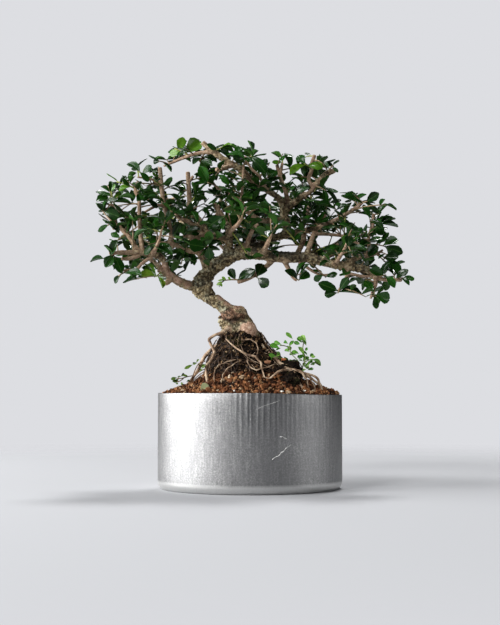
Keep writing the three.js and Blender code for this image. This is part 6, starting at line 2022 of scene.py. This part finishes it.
# Small new leaves at the end of the hanging twig: foot and tip as seen from the front, and width.
TIP_LEAVES = [(-26, 228, -31, 232, 0.5), (-28, 228, -35, 229, 0.35), (-30, 227, -37, 223, 0.45),
              (-21, 228, -24, 232, 0.5), (-33, 226, -31, 221, 0.5)]
TIP_LEAF_DEPTH = -26
TIP_LEAF_LEAN = -1
TIP_LEAF_RATIO = 0.5
TIP_LEAF_TONE = 0.8


def tuft_centre(leaves):
    return np.mean([leaf["base"] for leaf in leaves], axis=0)


def share_out(tufts):
    """Gives each extra tuft to the spray of the model that it grows nearest to."""
    centres = {name: tuft_centre(leaves) for name, leaves in spray_leaves.items()}
    shared = {name: [] for name in centres}
    for _, leaves in tufts:
        middle = tuft_centre(leaves)
        nearest = min(centres, key=lambda name: np.linalg.norm(centres[name] - middle))
        shared[nearest] += leaves
    return shared


tone_draw = seeded_numbers(TONE_SEED)
for name, leaves in spray_leaves.items():
    for i, leaf in enumerate(leaves):
        by_hand = i < len(SPRAYS[name][-1])
        young = YOUNG_SPRAYS.get(name, 0) * (1 if by_hand else YOUNG_FILL_SHARE)
        leaf["tone"] = min(PALEST_TONE, young + tone_draw(0.1, 0.5))
        leaf["tone"] *= SHADE if name in SHADED_SPRAYS else 1
for from_across, from_up, tip_across, tip_up, seen_width in TIP_LEAVES:
    foot = place((from_across, from_up, TIP_LEAF_DEPTH))
    tip = place((tip_across, tip_up, TIP_LEAF_DEPTH + TIP_LEAF_LEAN))
    tip_leaf = leaf_between(foot, tip, seen_width, TIP_LEAF_RATIO)
    spray_leaves["hanging_left"].append({**tip_leaf, "tone": TIP_LEAF_TONE})
for _, leaves in extra:
    young = YOUNG_TUFT_TONE * (tone_draw(0, 1) < YOUNG_TUFT_SHARE)
    for leaf in leaves:
        leaf["tone"] = young + tone_draw(0.05, 0.48)

shared_tufts = share_out(extra)
leaf_count = 0
for name, leaves in spray_leaves.items():
    piece = leaves_piece(f"leaves_{name}", leaves + shared_tufts[name], leaf_material, tone_draw)
    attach(piece, "root")
    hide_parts(f"spray_{name}")
    leaf_count += triangles(piece)
print("leaves:", leaf_count, "triangles")

# %% Twigs and spurs that carry the leaves
# Radii at the foot and at the tip.
SPRAY_TWIG = (1.1, 0.65)
SPUR_TWIG = (0.9, 0.5)
YOUNG_SHOOT_STEP = 5
TWIG_BOW = 0.04
TWIG_RUNS = 5


def twig_curve(twig, ends):
    """A twig that bows up a little and gets thinner to its tip."""
    length = np.linalg.norm(twig.tip - twig.foot)
    curve, widths = [], []
    for i in range(TWIG_RUNS + 1):
        spot = twig.at(i / TWIG_RUNS)
        spot[2] += TWIG_BOW * length * math.sin(math.pi * i / TWIG_RUNS)
        curve.append(spot)
        widths.append(ends[0] + (ends[1] - ends[0]) * i / TWIG_RUNS)
    return np.array(curve), np.array(widths)


def thin_bark(name, stops):
    """Bark of this year and last: thin and dull, with patches of cork."""
    material, tree, shader, on_piece = new_material(name)
    patches = add(tree, "ShaderNodeTexNoise", {"Vector": on_piece, "Scale": 90, "Detail": 4})
    tint = add(tree, "ShaderNodeValToRGB", {"Fac": patches}, stops=stops)
    wire(tree, shader, {"Base Color": tint, "Roughness": 0.7})
    return material


twig_bark = thin_bark("young_twig_bark", [(0.35, "#4f4028"), (0.5, "#86704f"), (0.65, "#ad9474")])
shoot_bark = thin_bark("green_shoot_skin", [(0.35, "#5d6a26"), (0.5, "#8f9a3f"), (0.65, "#b3b565")])
spray_wood = {name: twig_curve(twig, SPRAY_TWIG) for name, twig in zip(SPRAYS, spray_twigs)}
fork_wood = [twig_curve(twig, SPRAY_TWIG) for twig in spray_twigs[len(SPRAYS):]]
spur_wood = [twig_curve(twig, SPUR_TWIG) for twig, _ in extra]
green_ones = [spray_wood.pop(name) for name in YOUNG_SPRAYS] + spur_wood[::YOUNG_SHOOT_STEP]
brown_ones = list(spray_wood.values()) + fork_wood
brown_ones += [wood for i, wood in enumerate(spur_wood) if i % YOUNG_SHOOT_STEP]
for name, material, curves in (("twigs_and_spurs", twig_bark, brown_ones),
                               ("young_shoots", shoot_bark, green_ones)):
    piece = tubes_piece(name, curves, material, 6)
    ride_as_wood(piece)
    print(name + ":", triangles(piece), "triangles")

# %% [markdown]
# ## Seedlings and what lies on the soil
#
# Two self-sown seedlings came up beside the roots, with smaller, softer and lighter leaves than the
# tree. They are listed too: stems as places they pass through, and each leaf from its foot to
# its tip. A pale fallen leaf lies on the grit in front.

# %% Seedlings
SEEDLINGS = {
    "left": {
        "stems": [
            [[-64, 116, -30], [-62, 125, -31], [-58, 134, -32], [-55, 137, -33], [-49, 139, -34]],
            [[-62, 123, -30], [-68, 122, -31], [-75, 120, -32], [-80, 120, -33]],
            [[-67, 114, -30], [-63, 120, -31], [-56, 127, -32], [-48, 131, -33]],
            [[-66, 114, -30], [-58, 122, -31], [-51, 127, -32], [-46, 128, -33]],
            [[-70, 113, -30], [-66, 118, -31], [-63, 122, -32]],
            [[-73, 120, -30], [-77, 117, -31], [-80, 116, -32]],
            [[-61, 117, -30], [-54, 123, -31], [-48, 126, -32]],
        ],
        "leaves": [
            [-63, 135, -72, 131, 0.35], [-59, 137, -56, 141, 0.4], [-58, 137, -63, 136, 0.5],
            [-57, 136, -54, 133, 0.5], [-54, 132, -49, 135, 0.5], [-52, 131, -55, 128, 0.4],
            [-80, 121, -87, 119, 0.5], [-79, 120, -77, 124, 0.4], [-76, 122, -72, 125, 0.5],
            [-78, 119, -82, 118, 0.5], [-78, 117, -85, 117, 0.5], [-82, 115, -79, 114, 0.6],
            [-73, 115, -77, 114, 0.5], [-68, 122, -73, 124, 0.4], [-70, 116, -66, 118, 0.4],
        ],
    },
    "right": {
        "stems": [
            [[57, 126, -20], [58, 134, -23], [61, 142, -26], [58, 151, -28], [59, 159, -30]],
            [[58, 131, -20], [53, 139, -23], [45, 148, -26], [44, 157, -28]],
            [[58, 130, -20], [48, 136, -23], [37, 141, -26], [28, 144, -28]],
            [[59, 137, -20], [64, 140, -23], [69, 141, -26]],
            [[58, 134, -20], [63, 132, -23], [65, 130, -26]],
            [[44, 154, -20], [37, 156, -23], [33, 156, -26]],
        ],
        "leaves": [
            [47, 163, 40, 171, 0.42], [62, 160, 53, 167, 0.42], [62, 161, 56, 167, 0.4],
            [57, 159, 52, 165, 0.4], [62, 156, 57, 162, 0.2], [42, 158, 37, 161, 0.5],
            [35, 157, 26, 160, 0.5], [33, 153, 22, 157, 0.45], [34, 153, 28, 152, 0.4],
            [43, 157, 48, 161, 0.5], [48, 160, 54, 158, 0.5], [43, 156, 46, 160, 0.4],
            [41, 156, 45, 151, 0.8], [59, 145, 54, 155, 0.38], [61, 150, 63, 154, 0.6],
            [63, 145, 58, 152, 0.35], [54, 147, 46, 150, 0.45], [51, 146, 43, 147, 0.4],
            [44, 149, 38, 151, 0.4], [57, 142, 52, 145, 0.5], [53, 141, 58, 146, 0.5],
            [70, 142, 67, 147, 0.6], [66, 144, 71, 144, 0.5], [68, 141, 79, 135, 0.32],
            [69, 138, 77, 134, 0.2], [63, 129, 70, 131, 0.45], [62, 130, 56, 127, 0.3],
            [44, 140, 54, 136, 0.5], [43, 141, 48, 137, 0.5], [51, 138, 45, 134, 0.4],
            [37, 144, 42, 139, 0.5], [29, 144, 21, 146, 0.5], [28, 144, 33, 147, 0.5],
            [32, 142, 37, 142, 0.5], [25, 144, 22, 140, 0.4], [34, 145, 30, 149, 0.5],
            [58, 138, 64, 146, 0.4], [62, 140, 58, 147, 0.4], [65, 139, 61, 144, 0.4],
            [63, 134, 66, 139, 0.5], [62, 137, 57, 135, 0.5], [65, 138, 61, 132, 0.5],
            [64, 136, 69, 140, 0.5], [59, 135, 65, 131, 0.5], [58, 139, 54, 141, 0.4],
            [66, 135, 72, 137, 0.5], [40, 137, 45, 139, 0.45], [50, 134, 54, 130, 0.4],
        ],
    },
}
SEEDLING_STEM_RADIUS = 0.6
SEEDLING_LEAF_LEAN = 5
SEEDLING_LEAF_RATIO = 0.46
SEEDLING_TONES = (0.1, 0.95)
FALLEN_LEAF_FOOT = (-55, 105.5, -68)
FALLEN_LEAF_TIP = (-46, 114, -66)
FALLEN_LEAF_RATIO = 0.75


def seedling_leaves(parts, draw):
    """Leaves as lists say from the front. The nearest joint of a stem gives each its depth."""
    joints = [spot for stem in parts["stems"] for spot in stem]
    leaves = []
    for from_across, from_up, tip_across, tip_up, seen_width in parts["leaves"]:
        nearest = min(joints, key=lambda joint: math.hypot(joint[0] - from_across, joint[1] - from_up))
        foot = place((from_across, from_up, nearest[2] + draw(-2, 2)))
        tip = place((tip_across, tip_up, nearest[2] + draw(-SEEDLING_LEAF_LEAN, SEEDLING_LEAF_LEAN)))
        leaves.append(leaf_between(foot, tip, seen_width, max(seen_width, SEEDLING_LEAF_RATIO)))
    return leaves


SEEDLING_SHADES = {
    "left": [(0.0, "#2a3a14"), (0.5, "#4a6420"), (1.0, "#7d9440")],
    "right": [(0.0, "#2c5a18"), (0.45, "#4f8a2a"), (0.8, "#86b150"), (1.0, "#b5cf94")],
}
STEM_STOPS = {
    "left": [(0.35, "#3b2717"), (0.5, "#6b4a30"), (0.65, "#8f6c4b")],
    "right": [(0.35, "#5b5a34"), (0.5, "#7f9150"), (0.65, "#a5b57a")],
}
for side, parts in SEEDLINGS.items():
    material = glossy_leaf(f"soft_seedling_leaf_{side}", SEEDLING_SHADES[side], 0.42, 0.2)
    stem_skin = thin_bark(f"seedling_stem_{side}", STEM_STOPS[side])
    grown = seedling_leaves(parts, tone_draw)
    leaves = leaves_piece(f"seedling_leaves_{side}", grown, material, tone_draw, SEEDLING_TONES)
    stem_curves = smooth_paths([spot + [SEEDLING_STEM_RADIUS] for spot in stem] for stem in parts["stems"])
    stems = tubes_piece(f"seedling_stems_{side}", stem_curves, stem_skin, 6)
    for piece in (leaves, stems):
        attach(piece, "root")
        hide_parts(f"seedling_{side}")
    print("seedling", side, triangles(leaves) + triangles(stems), "triangles")

# %% A fallen leaf
faded = glossy_leaf("faded_leaf", [(0.0, "#b2bd84"), (0.5, "#d2d9ae"), (1.0, "#eceed8")], 0.55, 0.0)
fallen = leaf_between(place(FALLEN_LEAF_FOOT), place(FALLEN_LEAF_TIP), FALLEN_LEAF_RATIO, FALLEN_LEAF_RATIO)
fallen_leaf = leaves_piece("dry_fallen_leaf", [fallen], faded, tone_draw)
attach(fallen_leaf, "root")
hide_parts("fallen_leaf")
drop_patterns(leaf_patterns)
print("fallen leaf:", triangles(fallen_leaf), "triangles")

# %% Litter on the soil
LITTER_SEED = 5
# Each bit as seen from the front: across, up, depth and radius in millimetres, how flat, and its tone.
LITTER = [
    (-13, 120.5, -53, 4.8, 0.6, 0.0), (37, 141, -26, 4, 0.6, 0.33), (19.5, 138, -34, 4.8, 0.5, 0.5),
    (-46, 111, -60, 3, 0.5, 0.66), (-41, 109.5, -62, 2.6, 0.5, 0.66), (-22, 111.6, -67, 1.7, 0.9, 1),
    (-17.6, 106.3, -84, 1.4, 0.9, 1), (23.5, 105.8, -88, 1.8, 0.7, 1), (35, 105.5, -86, 2.2, 0.6, 1),
    (60, 106.5, -72, 1.5, 0.9, 1), (22, 117.5, 55, 4, 0.6, 0.0), (-60, 111, 40, 3, 0.5, 0.66),
]


def litter_material():
    """Bits of red brick, orange clay, dry root and white grit, told apart by their tone."""
    material, tree, shader, _ = new_material("mixed_soil_litter")
    tone = add(tree, "ShaderNodeAttribute", attribute_name="tone").outputs["Fac"]
    tint = add(tree, "ShaderNodeValToRGB", {"Fac": tone}, stops=[
        (0.0, "#96402a"), (0.33, "#c0713f"), (0.66, "#8f7d69"), (1.0, "#e6e2d8")])
    wire(tree, shader, {"Base Color": tint, "Roughness": 0.9})
    return material


def make_litter(draw):
    vertices, faces, tones = [], [], []
    for i, (*spot, radius, flat, tone) in enumerate(LITTER):
        bit = make_chip(f"bit_{i}", draw)
        first = len(vertices)
        vertices += [place(spot) + np.array(v.co) * radius * (1, 1, flat) for v in bit.data.vertices]
        tones += [tone] * len(bit.data.vertices)
        faces += [[first + index for index in polygon.vertices] for polygon in bit.data.polygons]
        bpy.data.objects.remove(bit)
    piece = mesh_piece("soil_litter", vertices, faces, litter_material(), smooth=False)
    piece.data.attributes.new("tone", "FLOAT", "POINT").data.foreach_set("value", tones)
    return piece


litter = make_litter(seeded_numbers(LITTER_SEED))
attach(litter, "root")
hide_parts("soil")
print("litter:", triangles(litter), "triangles")
